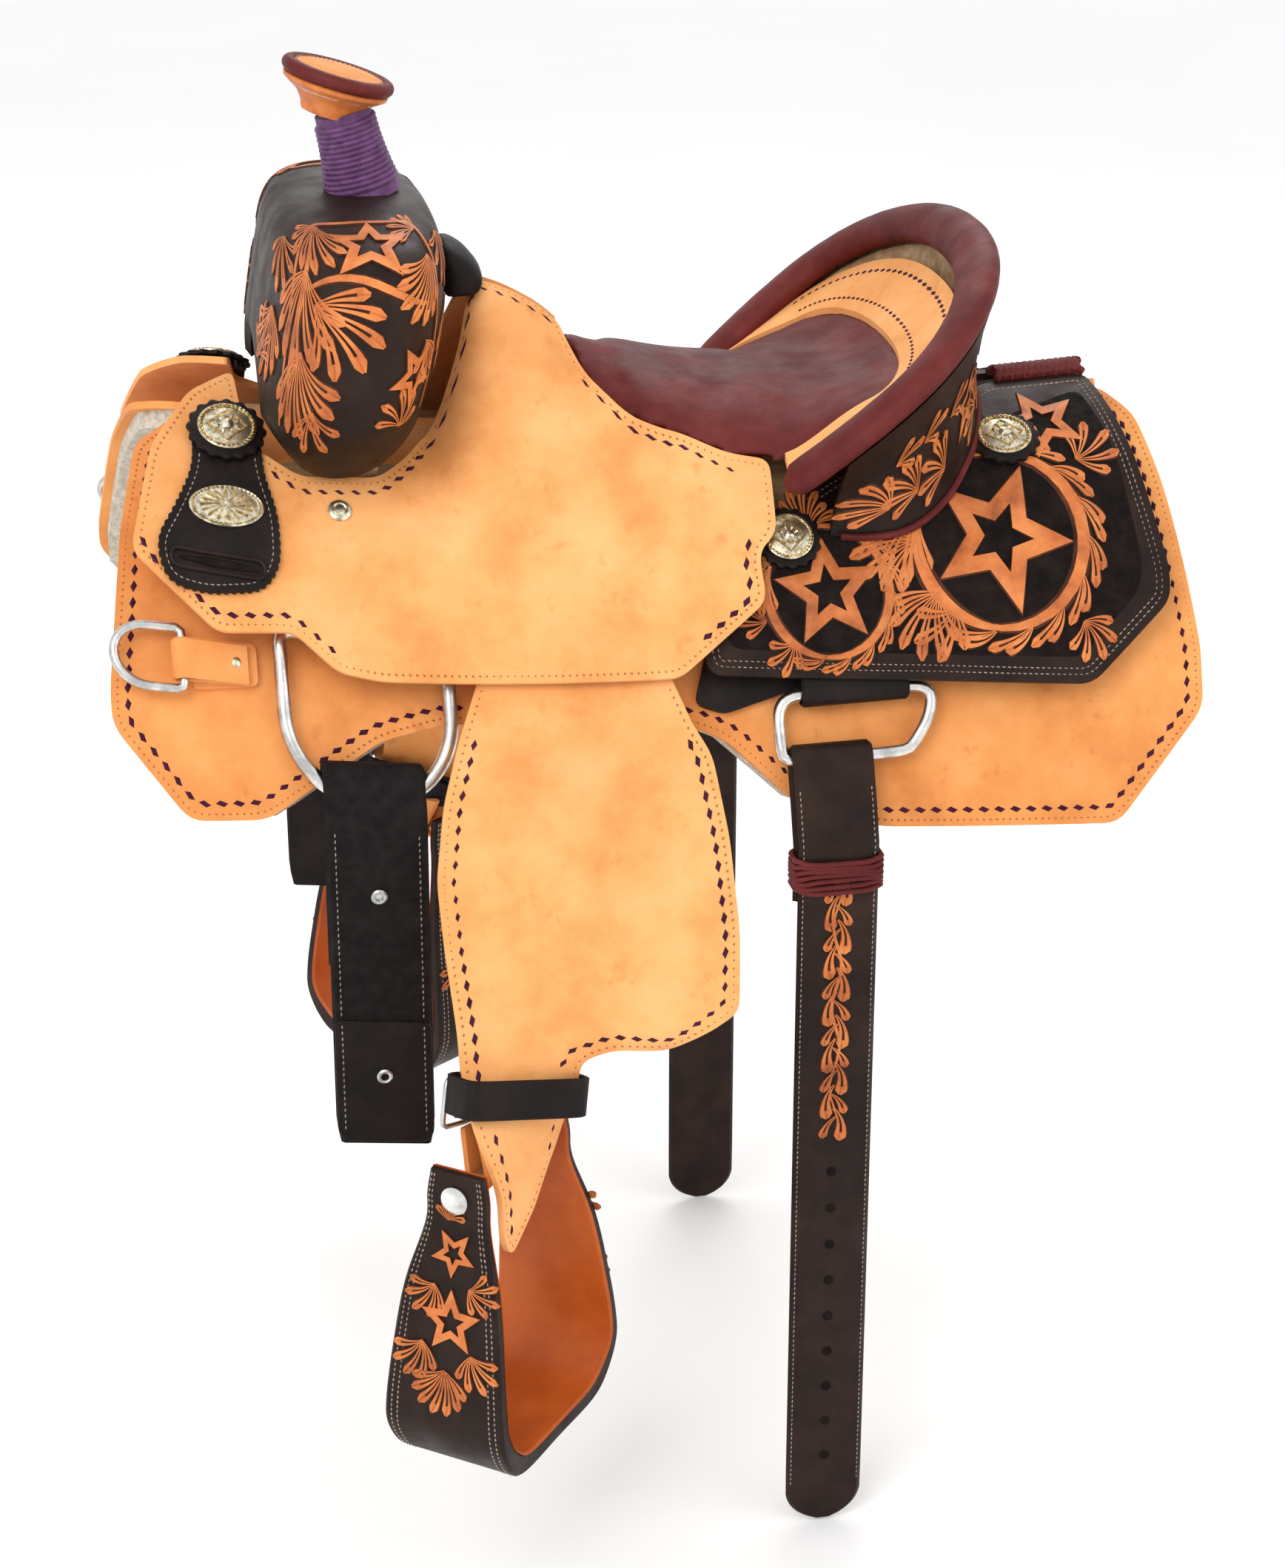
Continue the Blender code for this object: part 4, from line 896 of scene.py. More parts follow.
def skirts(side, word):
    outline = rounded(SKIRT_OUTLINE, 0.009)
    mesh = sheet(outline, SKIRT, side, side_point)
    add(f"skirt_leather_{word}", mesh, SKIRTING, nodes=[f"skirt_{word}"],
        bevel=0.0012)
    at = on(side_point, side, SKIRT[1])
    edge_dots(f"skirt_edge_stamp_{word}", outline, side_point, side, SKIRT[1], "saddle")
    row = [p for p in inset(outline, 0.0100) if p[1] > 0.03]
    add(f"skirt_buckstitch_{word}", stitch_row(row, at, *BUCKSTITCH, False), LACE)
    for node, finish in (("lining", FLEECE), ("tree_bar", WOOD)):
        carry(f"{node}_{word}", finish)


# ---------------------------------------------------------------- seat jockeys

CUT_OUT = [(-0.056, 0.006), (-0.110, 0.006), (-0.122, 0.032), (-0.149, 0.046), (-0.163, 0.061),
           (-0.180, 0.073), (-0.228, 0.075), (-0.256, 0.058), (-0.260, 0.030)]


def jockey_outline():
    seam = [(x, JOIN * seat_fraction(x, y + 0.003)) for x, y in reversed(SEAM[1:-1])]
    outline = [(-0.262, 0.004), (-0.290, 0.024), (-0.316, 0.064), (-0.332, 0.125), (-0.285, 0.166),
               (-0.240, 0.163), (-0.215, 0.184), (-0.190, 0.188), (-0.008, 0.188), (0.050, 0.148),
               (0.048, 0.122), (0.060, 0.112)]
    outline += [(0.060, JOIN * seat_fraction(0.060, 0.108))] + seam
    return outline + [(-0.053, 0.022)] + CUT_OUT


def seat_jockeys(side, word):
    outline = rounded(jockey_outline(), 0.007)
    add(f"seat_jockey_leather_{word}", sheet(outline, JOCKEY, side, jockey_point, 0.006), TAN,
        nodes=[f"seat_jockey_{word}"], bevel=0.0012)
    at = on(jockey_point, side, JOCKEY[1])
    edge_dots(f"jockey_edge_stamp_{word}", outline, jockey_point, side, JOCKEY[1], "saddle")
    notch = rounded([(-0.060, 0.016)] + [(x, s + 0.009) for x, s in CUT_OUT[1:]], 0.006)[3:-3]
    add(f"jockey_swell_lacing_{word}", stitch_row(notch, at, *SWELL_LACING, False, 0.25), LACE)
    low = [(-0.326, 0.118), (-0.322, 0.127), (-0.283, 0.157), (-0.240, 0.154), (-0.215, 0.174)]
    back = [(0.008, 0.168), (0.041, 0.146), (0.039, 0.122), (0.043, 0.116)]
    for part, line in (("front", low), ("rear", back)):
        add(f"jockey_buckstitch_{part}_{word}",
            stitch_row(rounded(line, 0.006)[3:-3], at, *BUCKSTITCH, False),
            LACE)
    seam = [(x, JOIN * seat_fraction(x, y + 0.011)) for x, y in reversed(SEAM[1:-1])]
    add(f"jockey_seam_lacing_{word}", stitch_row(seam, at, *SEAM_LACING, False), LACE)


# ---------------------------------------------------------------- rear jockeys

REAR_OUTLINE = [(0.222, 0.004), (0.290, 0.004), (0.296, 0.045), (0.303, 0.105), (0.309, 0.150),
                (0.307, 0.168),
                (0.252, 0.211), (0.150, 0.199), (0.012, 0.186), (0.006, 0.150), (0.050, 0.100),
                (0.130, 0.060),
                (0.190, 0.030)]


def rear_jockeys(side, word):
    outline = rounded(REAR_OUTLINE, 0.008)
    add(f"rear_jockey_leather_{word}", sheet(outline, REAR_JOCKEY, side, rear_jockey_point, 0.006),
        CHOCOLATE,
        nodes=[f"rear_jockey_{word}"], bevel=0.0012)
    at = on(rear_jockey_point, side, REAR_JOCKEY[1])
    parts = []
    for depth in (0.0050, 0.0085):
        line = [p for p in inset(outline, depth) if p[1] > 0.012]
        parts.append(stitch_row(line, at, *JOCKEY_THREAD, False))
    add(f"rear_jockey_thread_{word}", join(parts), THREAD)
    field = [(0.158, 0.070), (0.205, 0.047), (0.280, 0.022), (0.287, 0.060), (0.292, 0.145),
             (0.288, 0.160),
             (0.247, 0.195), (0.150, 0.184), (0.026, 0.172), (0.024, 0.154), (0.060, 0.128),
             (0.110, 0.090)]
    add(f"rear_jockey_background_{word}",
        sheet(rounded(field, 0.008), (REAR_JOCKEY[1] - 0.0006, REAR_JOCKEY[1] + 0.0002), side,
              rear_jockey_point,
              0.006), MATTED)
    carving = bmesh.new()
    for row in (
            ((0.150, 0.118), 2.2, 4.2, 7, 0.044, -0.5, 0.0058),
            ((0.160, 0.150), 1.5, 3.3, 6, 0.042, -0.6, 0.0056),
            ((0.250, 0.175), -0.2, 1.9, 5, 0.026, 0.7, 0.0046),
            ((0.262, 0.078), -1.4, 0.7, 5, 0.032, -0.6, 0.0048)):
        fan(carving, at, *row)
    wreath(carving, at, (0.204, 0.1205), 0.0535, 0.042, 0.0060)
    wreath(carving, at, (0.091, 0.143), 0.0385, 0.027, 0.0042)
    fan(carving, at, (0.050, 0.158), 2.4, 4.2, 4, 0.022, 0.5, 0.0040)
    for row in (
            ((0.204, 0.1205), 0.049, -1.10),
            ((0.091, 0.143), 0.036, -1.62),
            ((0.248, 0.048), 0.030, -0.6)):
        star(carving, at, *row)
    add(f"rear_jockey_carving_{word}", carving, CARVED, angle=60)


def rear_lacing():
    """The braid that joins the rear jockeys behind the cantle, in three strands."""
    parts = []
    for strand in range(3):
        path = []
        for i in range(61):
            t = i / 60
            x = 0.2325 + 0.057 * t
            turn = math.tau * (t * 4.5 + strand / 3)
            path.append(Vector((x, 0.0095 * math.sin(turn),
                                0.0290 + rise(x) + 0.0020 * math.cos(2 * turn))))
        parts.append(tube(path, 0.0032, 8))
    add("ridge_braid", join(parts), MAROON, nodes=["rear_jockey_lacing"])


# ---------------------------------------------------------------- swell and fork

# v runs up the swell's side and over onto its crown, as (v, value).
SWELL_PROFILE = ((0.000, 0.015, 0.100, 0.044), (0.016, 0.026, 0.112, 0.048),
                 (0.041, 0.040, 0.132, 0.051),
                 (0.066, 0.060, 0.148, 0.0535), (0.097, 0.090, 0.155, 0.056),
                 (0.127, 0.120, 0.1545, 0.056),
                 (0.147, 0.140, 0.150, 0.0545), (0.163, 0.154, 0.141, 0.052),
                 (0.184, 0.1635, 0.122, 0.047),
                 (0.214, 0.1690, 0.092, 0.039), (0.250, 0.1715, 0.056, 0.027),
                 (0.286, 0.1725, 0.020, 0.011),
                 (0.306, 0.1726, 0.001, 0.001))
SWELL_Z = [(row[0], row[1]) for row in SWELL_PROFILE]
SWELL_WIDTH = [(row[0], row[2]) for row in SWELL_PROFILE]
SWELL_LENGTH = [(row[0], row[3]) for row in SWELL_PROFILE]
SWELL_CORNER = 2 / 2.6
SWELL_END = 0.306


def swell_surface(turn, v, shrink=0.0):
    """A point on the swell; turn is the angle round it from its rear middle."""
    z = along(SWELL_Z, v) - shrink
    width = max(along(SWELL_WIDTH, v) - shrink, 0.0)
    length = max(along(SWELL_LENGTH, v) - shrink, 0.0)
    sine, cosine = math.sin(turn), math.cos(turn)
    middle = SWELL_X + 0.02 * smooth(0.0, 0.16, z) - 0.005
    return Vector((middle + length * math.copysign(abs(cosine) ** SWELL_CORNER, cosine),
                   width * math.copysign(abs(sine) ** SWELL_CORNER, sine), z))


def swell_foot(turn):
    """v of the swell's lower edge, which arches over the gullet and dips to the sides."""
    sine = math.sin(turn)
    level = 0.05
    for _ in range(4):
        v = along([(z, v) for v, z in SWELL_Z], level)
        reach = along(SWELL_WIDTH, v) * sine
        ratio = min(abs(reach) / GULLET_HALF_WIDTH, 1.0)
        level = max(GULLET_HEIGHT * math.sqrt(1 - ratio ** 2) + 0.006,
                    0.056 - 0.031 * abs(sine) ** 3)
    return along([(z, v) for v, z in SWELL_Z], level)


def build_swell_turns():
    """How far round the swell each angle is, in metres from its outermost side."""
    rows = [(0.0, 0.0)]
    last = swell_surface(math.pi / 2, 0.097)
    for i in range(1, 91):
        turn = math.pi / 2 * (1 - i / 90)
        here = swell_surface(turn, 0.097)
        rows.append((rows[-1][0] + (here - last).length, math.pi / 2 - turn))
        last = here
    return rows


SWELL_TURNS = build_swell_turns()


def on_swell(side):
    """(u, v, h) on the swell: u metres round towards the rear, v up its side."""
    def place(u, v):
        lean = along(SWELL_TURNS, abs(u))
        return swell_surface(side * (math.pi / 2 - math.copysign(lean, u)), v)

    def at(u, v, h):
        here = place(u, v)
        ahead = place(u + 0.002, v) - place(u - 0.002, v)
        normal = ahead.cross(place(u, v + 0.002) - place(u, v - 0.002))
        return here + normal.normalized() * (-side * h)
    return at


def swell():
    around, up = 112, 34
    mesh = bmesh.new()
    skins = []
    for shrink in (0.0, 0.005):
        rows = []
        for j in range(up):
            row = []
            for k in range(around):
                turn = math.tau * k / around
                row.append(mesh.verts.new(swell_surface(turn,
                                                        mix(swell_foot(turn), SWELL_END, j / up),
                                                        shrink)))
            rows.append(row)
        for low, high in zip(rows, rows[1:]):
            for k in range(around):
                mesh.faces.new([low[k], low[(k + 1) % around], high[(k + 1) % around], high[k]])
        middle = mesh.verts.new(swell_surface(0.0, SWELL_END, shrink))
        for k in range(around):
            mesh.faces.new([rows[-1][k], rows[-1][(k + 1) % around], middle])
        skins.append(rows[0])
    for k in range(around):
        after = (k + 1) % around
        mesh.faces.new([skins[0][k], skins[0][after], skins[1][after], skins[1][k]])
    add("swell_leather", mesh, CHOCOLATE, nodes=["swell_cover"],
        bevel=0.0015)
    carry("tree_fork", WOOD)
    for side, word in SIDES:
        at = on_swell(side)
        carving = bmesh.new()
        border = rounded([(-0.060, 0.052), (-0.062, 0.150), (-0.056, 0.212), (0.000, 0.226),
                          (0.054, 0.212),
                          (0.060, 0.150), (0.058, 0.062)], 0.020)[3:-3]
        stem(carving, at, resample(border, 0.006, False), 0.0034)
        for row in (
                ((-0.044, 0.208), -3.0, -0.7, 8, 0.050, 0.6, 0.0062),
                ((-0.046, 0.160), -2.8, -1.0, 7, 0.058, 0.7, 0.0064),
                ((-0.036, 0.142), -1.2, 0.5, 6, 0.052, -0.6, 0.0062),
                ((-0.044, 0.114), -2.4, -0.9, 7, 0.056, 0.6, 0.0060),
                ((-0.028, 0.080), -2.4, -0.9, 4, 0.034, 0.6, 0.0046),
                ((0.050, 0.196), 1.0, 3.2, 6, 0.034, 0.7, 0.0050),
                ((0.050, 0.168), -2.7, -1.0, 7, 0.044, -0.7, 0.0056),
                ((0.044, 0.118), -1.9, -0.3, 5, 0.028, -0.6, 0.0044),
                ((0.030, 0.068), 0.2, 2.6, 5, 0.026, 0.8, 0.0042)):
            fan(carving, at, *row)
        stem(carving, at,
             [(-0.050 + 0.004 * math.sin(k * 0.5), 0.206 - 0.0105 * k) for k in range(14)], 0.0044)
        stem(carving, at,
             [(-0.044 + 0.008 * k, 0.150 + 0.010 * math.sin(k * 0.42)) for k in range(12)], 0.0040)
        for sign in (-1, 1):
            for row in (
                    ((sign * 0.094, 0.130), -2.6, -0.6, 7, 0.048, 0.6 * sign, 0.0056),
                    ((sign * 0.090, 0.178), -2.7, -0.5, 6, 0.040, -0.6 * sign, 0.0050),
                    ((sign * 0.112, 0.096), 0.4, 2.7, 6, 0.034, 0.6 * sign, 0.0048)):
                fan(carving, at, *row)
        star(carving, at, (0.003, 0.188), 0.036, 1.5)
        star(carving, at, (0.036, 0.100), 0.022, 0.9)
        add(f"swell_carving_{word}", carving, CARVED, angle=60)


# ---------------------------------------------------------------- horn

def horn():
    up = Vector((math.sin(-HORN_TILT), 0, math.cos(HORN_TILT)))
    foot = Vector((-0.176, 0, SWELL_TOP + 0.0085))
    head = HORN_CAP - up * 0.0065
    lean = (head - foot).normalized()
    length = (head - foot).length
    first = Vector((0, 1, 0))
    second = lean.cross(first)
    path = []
    turns, each = 13, 28
    rows = turns * each
    for i in range(rows + 1):
        t = i / rows
        angle = math.tau * i / each
        radius = 0.0176 + 0.0048 * (1 - t) ** 2
        path.append(foot + lean * (0.0005 + (length - 0.022) * t)
                    + radius * (math.cos(angle) * first + math.sin(angle) * second))
    core = turned([(0.0230, -0.006), (0.0222, 0.002), (0.0200, 0.012), (0.0180, 0.026),
                   (0.0174, length - 0.016)],
                  foot, lean, 32)
    add("horn_cord", tube(path, 0.0020, 8, False, lean), CORD, nodes=["horn_wrap"])
    add("horn_core", core, CORD)
    neck = head - up * 0.014
    under = turned([(0.0170, -0.004), (0.0188, 0.001), (0.0225, 0.0062), (0.0290, 0.0104),
                    (0.0325, 0.0128),
                    (0.0330, 0.0150), (0.0300, 0.0165), (0.001, 0.0165)], neck, up, 48)
    add("horn_cap_underside", under, TOOLED, nodes=["horn_cap_cover"])
    inlay = turned([(0.001, 0.004), (0.0290, 0.004), (0.0287, 0.0088), (0.0240, 0.0102),
                    (0.0140, 0.0113),
                    (0.001, 0.0117)], head, up, 48)
    add("horn_cap_inlay", inlay, SKIRTING)
    spin = up.to_track_quat("Z", "Y").to_matrix()
    rim = circle(head + up * 0.0062, 0.0308, 72, spin.col[0], spin.col[1])
    add("horn_cap_rim", tube(rim, 0.0044, 14, True, up), MAROON)
    stitches = bmesh.new()
    for k in range(56):
        a = math.tau * k / 56
        out = math.cos(a) * spin.col[0] + math.sin(a) * spin.col[1]
        along_rim = up.cross(out)
        centre = head + up * 0.0098 + out * 0.0268
        ends = [centre + along_rim * p + out * q
                for p, q in ((0.0011, 0), (0, 0.0004), (-0.0011, 0), (0, -0.0004))]
        diamond(stitches, ends, centre + up * 0.0006, centre - up * 0.0006)
    add("horn_cap_thread", stitches, THREAD)
    carry("horn", STEEL)


# ---------------------------------------------------------------- seat and cantle

RIM_METRES = 0.22       # length of the rim for a share of 1
CANTLE_HEIGHT = 0.075
SEAT_THICKNESS = 0.008
SEAT_VOXEL = 0.005
SEAT_PRESSURE = 4.0
SEAT_CAP = 0.0014
CLOTH_FRAMES = 20

def seat_edge(x):
    """Half-width of the seat leather, which ends inside the cantle's inlay."""
    if x < RIM_END:
        return along(SEAM, x)
    return rim_half_width(x, mix(0.029, INLAY_DEPTH, smooth(RIM_END, 0.115, x)))


def padded_sheet(stations, half_width, top, thickness, across):
    """A crowned sheet across the centre plane, thinning to its edges."""
    mesh = bmesh.new()
    skins = []
    for lower in (0, 1):
        rows = []
        for i, x in enumerate(stations):
            edge = half_width(x)
            row = []
            for k in range(across + 1):
                y = edge * (2 * k / across - 1)
                ends = min(1.0, (1 - abs(2 * k / across - 1)) * edge / 0.012)
                ends = min(ends, (x - stations[0]) / 0.010 + 0.15,
                           (stations[-1] - x) / 0.010 + 0.15)
                full = math.sqrt(max(ends, 0.0) * (2 - min(max(ends, 0.0), 1.0)))
                height = top(x, y) - (thickness if lower else 0.0014 * (1 - full))
                row.append(mesh.verts.new((x, y, height - (0 if lower else 0.003 * (1 - full)))))
            rows.append(row)
        skins.append(rows)
        for a, b in zip(rows, rows[1:]):
            for k in range(across):
                mesh.faces.new([a[k], a[k + 1], b[k + 1], b[k]])
    upper, lower = skins
    for k in range(across):
        mesh.faces.new([upper[0][k], upper[0][k + 1], lower[0][k + 1], lower[0][k]])
        mesh.faces.new([upper[-1][k], upper[-1][k + 1], lower[-1][k + 1], lower[-1][k]])
    for end in (0, across):
        for i in range(len(stations) - 1):
            mesh.faces.new([upper[i][end], upper[i + 1][end], lower[i + 1][end], lower[i][end]])
    return mesh


def inflate(made, cap):
    """Swell a padded piece with a short cloth simulation; no point moves further than cap."""
    made.modifiers.clear()
    remesh = made.modifiers.new("remesh", "REMESH")
    remesh.mode = "VOXEL"
    remesh.voxel_size = SEAT_VOXEL
    graph = bpy.context.evaluated_depsgraph_get()
    mesh = bpy.data.meshes.new_from_object(made.evaluated_get(graph), depsgraph=graph)
    made.modifiers.clear()
    made.data = mesh
    before = [v.co.copy() for v in mesh.vertices]
    cloth = made.modifiers.new("cloth", "CLOTH")
    cloth.settings.use_pressure = True
    cloth.settings.uniform_pressure_force = SEAT_PRESSURE
    cloth.settings.effector_weights.gravity = 0.0
    cloth.settings.tension_stiffness = 12
    cloth.settings.bending_stiffness = 1.5
    cloth.point_cache.frame_start = 1
    cloth.point_cache.frame_end = CLOTH_FRAMES
    for number in range(1, CLOTH_FRAMES + 1):
        bpy.context.scene.frame_set(number)
    graph = bpy.context.evaluated_depsgraph_get()
    moved = bpy.data.meshes.new_from_object(made.evaluated_get(graph), depsgraph=graph)
    made.modifiers.clear()
    for vertex, old in zip(moved.vertices, before):
        step = vertex.co - old
        if step.length > cap:
            vertex.co = old + step * (cap / step.length)
    made.data = moved
    bpy.context.scene.frame_set(1)


def refine(made):
    """Apply one subdivision."""
    smoother = made.modifiers.new("subdivision", "SUBSURF")
    smoother.levels = 1
    smoother.render_levels = 1
    graph = bpy.context.evaluated_depsgraph_get()
    fine = bpy.data.meshes.new_from_object(made.evaluated_get(graph), depsgraph=graph)
    made.modifiers.clear()
    made.data = fine
    fine.shade_smooth()


def seat():
    count = 44
    back = RIM_BACK - INLAY_DEPTH - 0.001
    stations = [SEAT_FRONT + (back - SEAT_FRONT) * i / count for i in range(count + 1)]
    mesh = padded_sheet(stations, seat_edge, lambda x, y: seat_height(x, y) - 0.0022,
                        SEAT_THICKNESS, count)
    made = add("seat_leather", mesh, MAROON, body=None)
    inflate(made, SEAT_CAP)
    refine(made)
    made.data.materials.clear()
    made.data.materials.append(MAROON)
    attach(made, "saddle")
    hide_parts("seat")
    carry("ground_seat", STEEL)


def cantle_plan(t, depth):
    """x and y at rim share t, a depth inside the rim's middle line."""
    ratio = abs(t) / RIM_ARC
    if ratio <= 1:
        angle = ratio * math.pi / 2
        x = RIM_TURN + (RIM_BACK - depth - RIM_TURN) * math.cos(angle) ** (2 / RIM_POWER)
        y = (RIM_HALF_WIDTH - depth) * math.sin(angle) ** (2 / RIM_POWER)
    else:
        x = mix(RIM_TURN, RIM_END + 0.004, (abs(t) - 0.8) / 0.2)
        y = rim_half_width(x, depth)
    return x, math.copysign(y, t)


def cantle_inlay():
    """The roughout band between the seat leather and the rolled binding, with its sewing."""
    rings = []
    count = 96
    for i in range(count + 1):
        t = -1 + 2 * i / count
        ring = []
        depths = (0.012, 0.024, 0.036, 0.048, 0.048, 0.036, 0.024, 0.012)
        lifts = (0.0012, 0.0016, 0.0016, 0.0004, -0.004, -0.004, -0.004, -0.004)
        for depth, lift in zip(depths, lifts):
            end = smooth(0.8, 1.0, abs(t))
            x, y = cantle_plan(t, mix(depth, 0.012 + (depth - 0.012) * 0.45, end))
            ring.append(Vector((x, y, seat_height(x, y) + lift)))
        rings.append(ring)
    add("cantle_inlay", loft(rings), TAN)
    parts = []
    for depth in (0.0195, 0.0395):
        def at(u, v, h):
            x, y = cantle_plan(u / RIM_METRES, depth + v)
            return Vector((x, y, seat_height(x, y) + 0.0016 + h))
        line = [(RIM_METRES * (-0.78 + 1.56 * i / 120), 0.0) for i in range(121)]
        parts.append(stitch_row(line, at, *INLAY_LACING, False))
    add("cantle_inlay_lacing", join(parts), LACE)


def cantle_binding():
    rings = []
    stations, sides = 110, 22
    for i in range(stations + 1):
        t = -1 + 2 * i / stations
        point, outward, normal = rim_frame(t)
        end = min((1 - abs(t)) / 0.03, 1.0)
        size = 0.45 + 0.55 * math.sqrt(max(1 - (1 - end) ** 2, 0.0))
        flutter = 1 + 0.02 * noise.noise(Vector((t * 30, 2.0, 0.0)))
        rings.append(circle(point, size * flutter, sides, outward * ROLL_WIDTH,
                            normal * (ROLL_DEPTH + 0.001)))
    made = add("cantle_roll", loft(rings), MAROON, nodes=["cantle_binding"])


def on_rear_jockey(x, y):
    low, high = 0.0, 0.3
    for _ in range(30):
        middle = (low + high) / 2
        if rear_jockey_point(x, middle, REAR_JOCKEY[1], 1).y < abs(y):
            low = middle
        else:
            high = middle
    return rear_jockey_point(x, low, REAR_JOCKEY[1], 1).z


def cantle_face(t, share, lift):
    """A point on the cantle's back: share 0 at its foot, 1 under the binding."""
    rim, outward, normal = rim_frame(t)
    plan = Vector((outward.x, outward.y, 0)).normalized()
    top = rim - normal * (ROLL_DEPTH + 0.0010) + outward * (0.0075 + lift)
    x = RIM_END + (rim.x - RIM_END) * 1.05 + plan.x * lift
    y = rim.y * 0.84 + plan.y * lift
    foot = Vector((x, y, on_rear_jockey(x, y) + 0.0015))
    hollow = plan * (-0.006 * math.sin(math.pi * share))
    return foot.lerp(top, share) + hollow


def cantle():
    rings = []
    count = 72
    for i in range(count + 1):
        t = 0.9 * (-1 + 2 * i / count)
        ring = [cantle_face(t, k / 8, 0.0) for k in range(9)]
        ring += [cantle_face(t, 1 - k / 8, -0.0045) for k in range(9)]
        rings.append(ring)
    add("cantle_leather", loft(rings), CHOCOLATE, nodes=["cantle_back"])
    carry("cantle_board", WOOD)

    def at(u, v, h):
        return cantle_face(u / RIM_METRES, v / CANTLE_HEIGHT, h)
    carving = bmesh.new()
    star(carving, at, (0.0, 0.036), 0.022, math.pi / 2)
    for side in (-1, 1):
        star(carving, at, (side * 0.092, 0.034), 0.019, math.pi / 2)
        for reach, height in ((0.036, 0.036), (0.066, 0.034), (0.122, 0.034), (0.150, 0.036),
                              (0.172, 0.034)):
            middle = math.pi / 2 - side * 0.9
            fan(carving, at, (side * reach, height - 0.016), middle - 0.9, middle + 0.9, 5, 0.030,
                0.5, 0.0046)
            fan(carving, at, (side * reach, height + 0.010), middle - 2.6, middle - 1.4, 3, 0.022,
                -0.5, 0.0040)
    add("cantle_carving", carving, CARVED, angle=60)
    welt = [cantle_face(0.88 * (-1 + 2 * i / 80), 0.02, 0.001) for i in range(81)]
    add("cantle_foot_welt", tube(welt, 0.0024, 8, False, Vector((0, 0, 1))), MAROON)


def hand_hold():
    """The rolled black edge of the hand hole behind the swell."""
    outline = resample(rounded([(-0.131, 0.110), (-0.132, 0.136), (-0.126, 0.142), (-0.114, 0.135),
                                (-0.103, 0.121), (-0.106, 0.111)], 0.006), 0.003)
    middle = (-0.118, 0.122)
    rings = []
    for i in range(21):
        y = -0.030 + 0.060 * i / 20
        size = math.sqrt(max(1 - (y / 0.031) ** 6, 0.05))
        sag = 0.006 * (y / 0.03) ** 2
        rings.append([Vector((middle[0] + (x - middle[0]) * size, y,
                              middle[1] + (z - middle[1]) * size - sag))
                      for x, z in outline])
    add("hand_hold_roll", loft(rings), BLACK, nodes=["hand_hold"])


# ---------------------------------------------------------------- rigging

FRONT_STRAP_THICKNESS = 0.0035
FRONT_STRAP_HALF = 0.031
BILLET_THICKNESS = 0.0040
BILLET_HALF = 0.0255
BREAST_BAR_X = -0.3060
BREAST_BAR_S = 0.179
BREAST_DEE_MIDDLE = 0.0285

def ring_path(outline, h, side, smoothness=0.010):
    return [side_point(x, s, h, side) for x, s in resample(rounded(outline, smoothness, 6), 0.004)]


def arc(centre, radius, start, end, steps, radius_s=None):
    radius_s = radius if radius_s is None else radius_s
    return [(centre[0] + radius * math.cos(a), centre[1] + radius_s * math.sin(a))
            for a in (math.radians(start + (end - start) * i / steps) for i in range(steps + 1))]


def dees(side, word):
    half = FRONT_DEE_HALF
    outline = arc((FRONT_DEE_X, FRONT_DEE_S), half, 0, 180, 36)
    outline += [(FRONT_DEE_X - half, FRONT_DEE_BAR_S), (FRONT_DEE_X + half, FRONT_DEE_BAR_S)]
    out = side_normal(FRONT_DEE_S, side)
    add(f"front_dee_ring_{word}",
        tube(ring_path(outline, DEE_MIDDLE, side, 0.008), 0.0045, 14, True, out), STEEL,
        nodes=[f"front_dee_{word}"])
    half = REAR_DEE_HALF
    outline = [(REAR_DEE_X - half, REAR_DEE_TOP_S), (REAR_DEE_X + half, REAR_DEE_TOP_S),
               (REAR_DEE_X + half - 0.002, 0.218), (REAR_DEE_X + half - 0.014, 0.234),
               (REAR_DEE_X + 0.030, REAR_DEE_BOTTOM_S),
               (REAR_DEE_X - half + 0.003, REAR_DEE_BOTTOM_S),
               (REAR_DEE_X - half, 0.233)]
    out = side_normal(REAR_DEE_TOP_S, side)
    add(f"rear_dee_ring_{word}",
        tube(ring_path(outline, DEE_MIDDLE, side, 0.015), 0.0040, 14, True, out), STEEL,
        f"rear_dee_{word}", [f"rear_dee_{word}"])
    outline = arc((-0.3265, BREAST_BAR_S), 0.0200, 90, 270, 24, 0.0175)
    outline += [(BREAST_BAR_X, 0.1615), (BREAST_BAR_X, 0.1965)]
    out = side_normal(BREAST_BAR_S, side)
    add(f"breast_dee_ring_{word}",
        tube(ring_path(outline, BREAST_DEE_MIDDLE, side, 0.004), 0.0030, 12, True, out), STEEL,
        f"breast_dee_{word}", [f"breast_dee_{word}"])


def level_at(side, x, s):
    return (side_point(x + 0.01, s, 0, side) - side_point(x - 0.01, s, 0, side)).normalized()


def fold(side, x, bar_s, tail_s, middle, turn, half, thickness, material, name):
    """A leather loop round a dee's straight bar, both ends up under the leather above it."""
    out = side_normal(bar_s, side)
    bar = side_point(x, bar_s, middle, side)
    down = Vector((0, side * out.z, -abs(out.y)))
    path = [side_point(x, mix(tail_s, bar_s, t), middle - turn, side) for t in (0.0, 0.3, 0.6, 0.85,
                                                                                1.0)]
    for degrees in range(15, 180, 15):
        a = math.radians(degrees)
        path.append(bar + (-out * math.cos(a) + down * math.sin(a)) * turn)
    path += [side_point(x, mix(bar_s, tail_s, t), middle + turn, side)
             for t in (0.0, 0.15, 0.4, 0.7, 1.0)]
    add(name, ribbon(path, half, thickness, level_at(side, x, bar_s)), material)


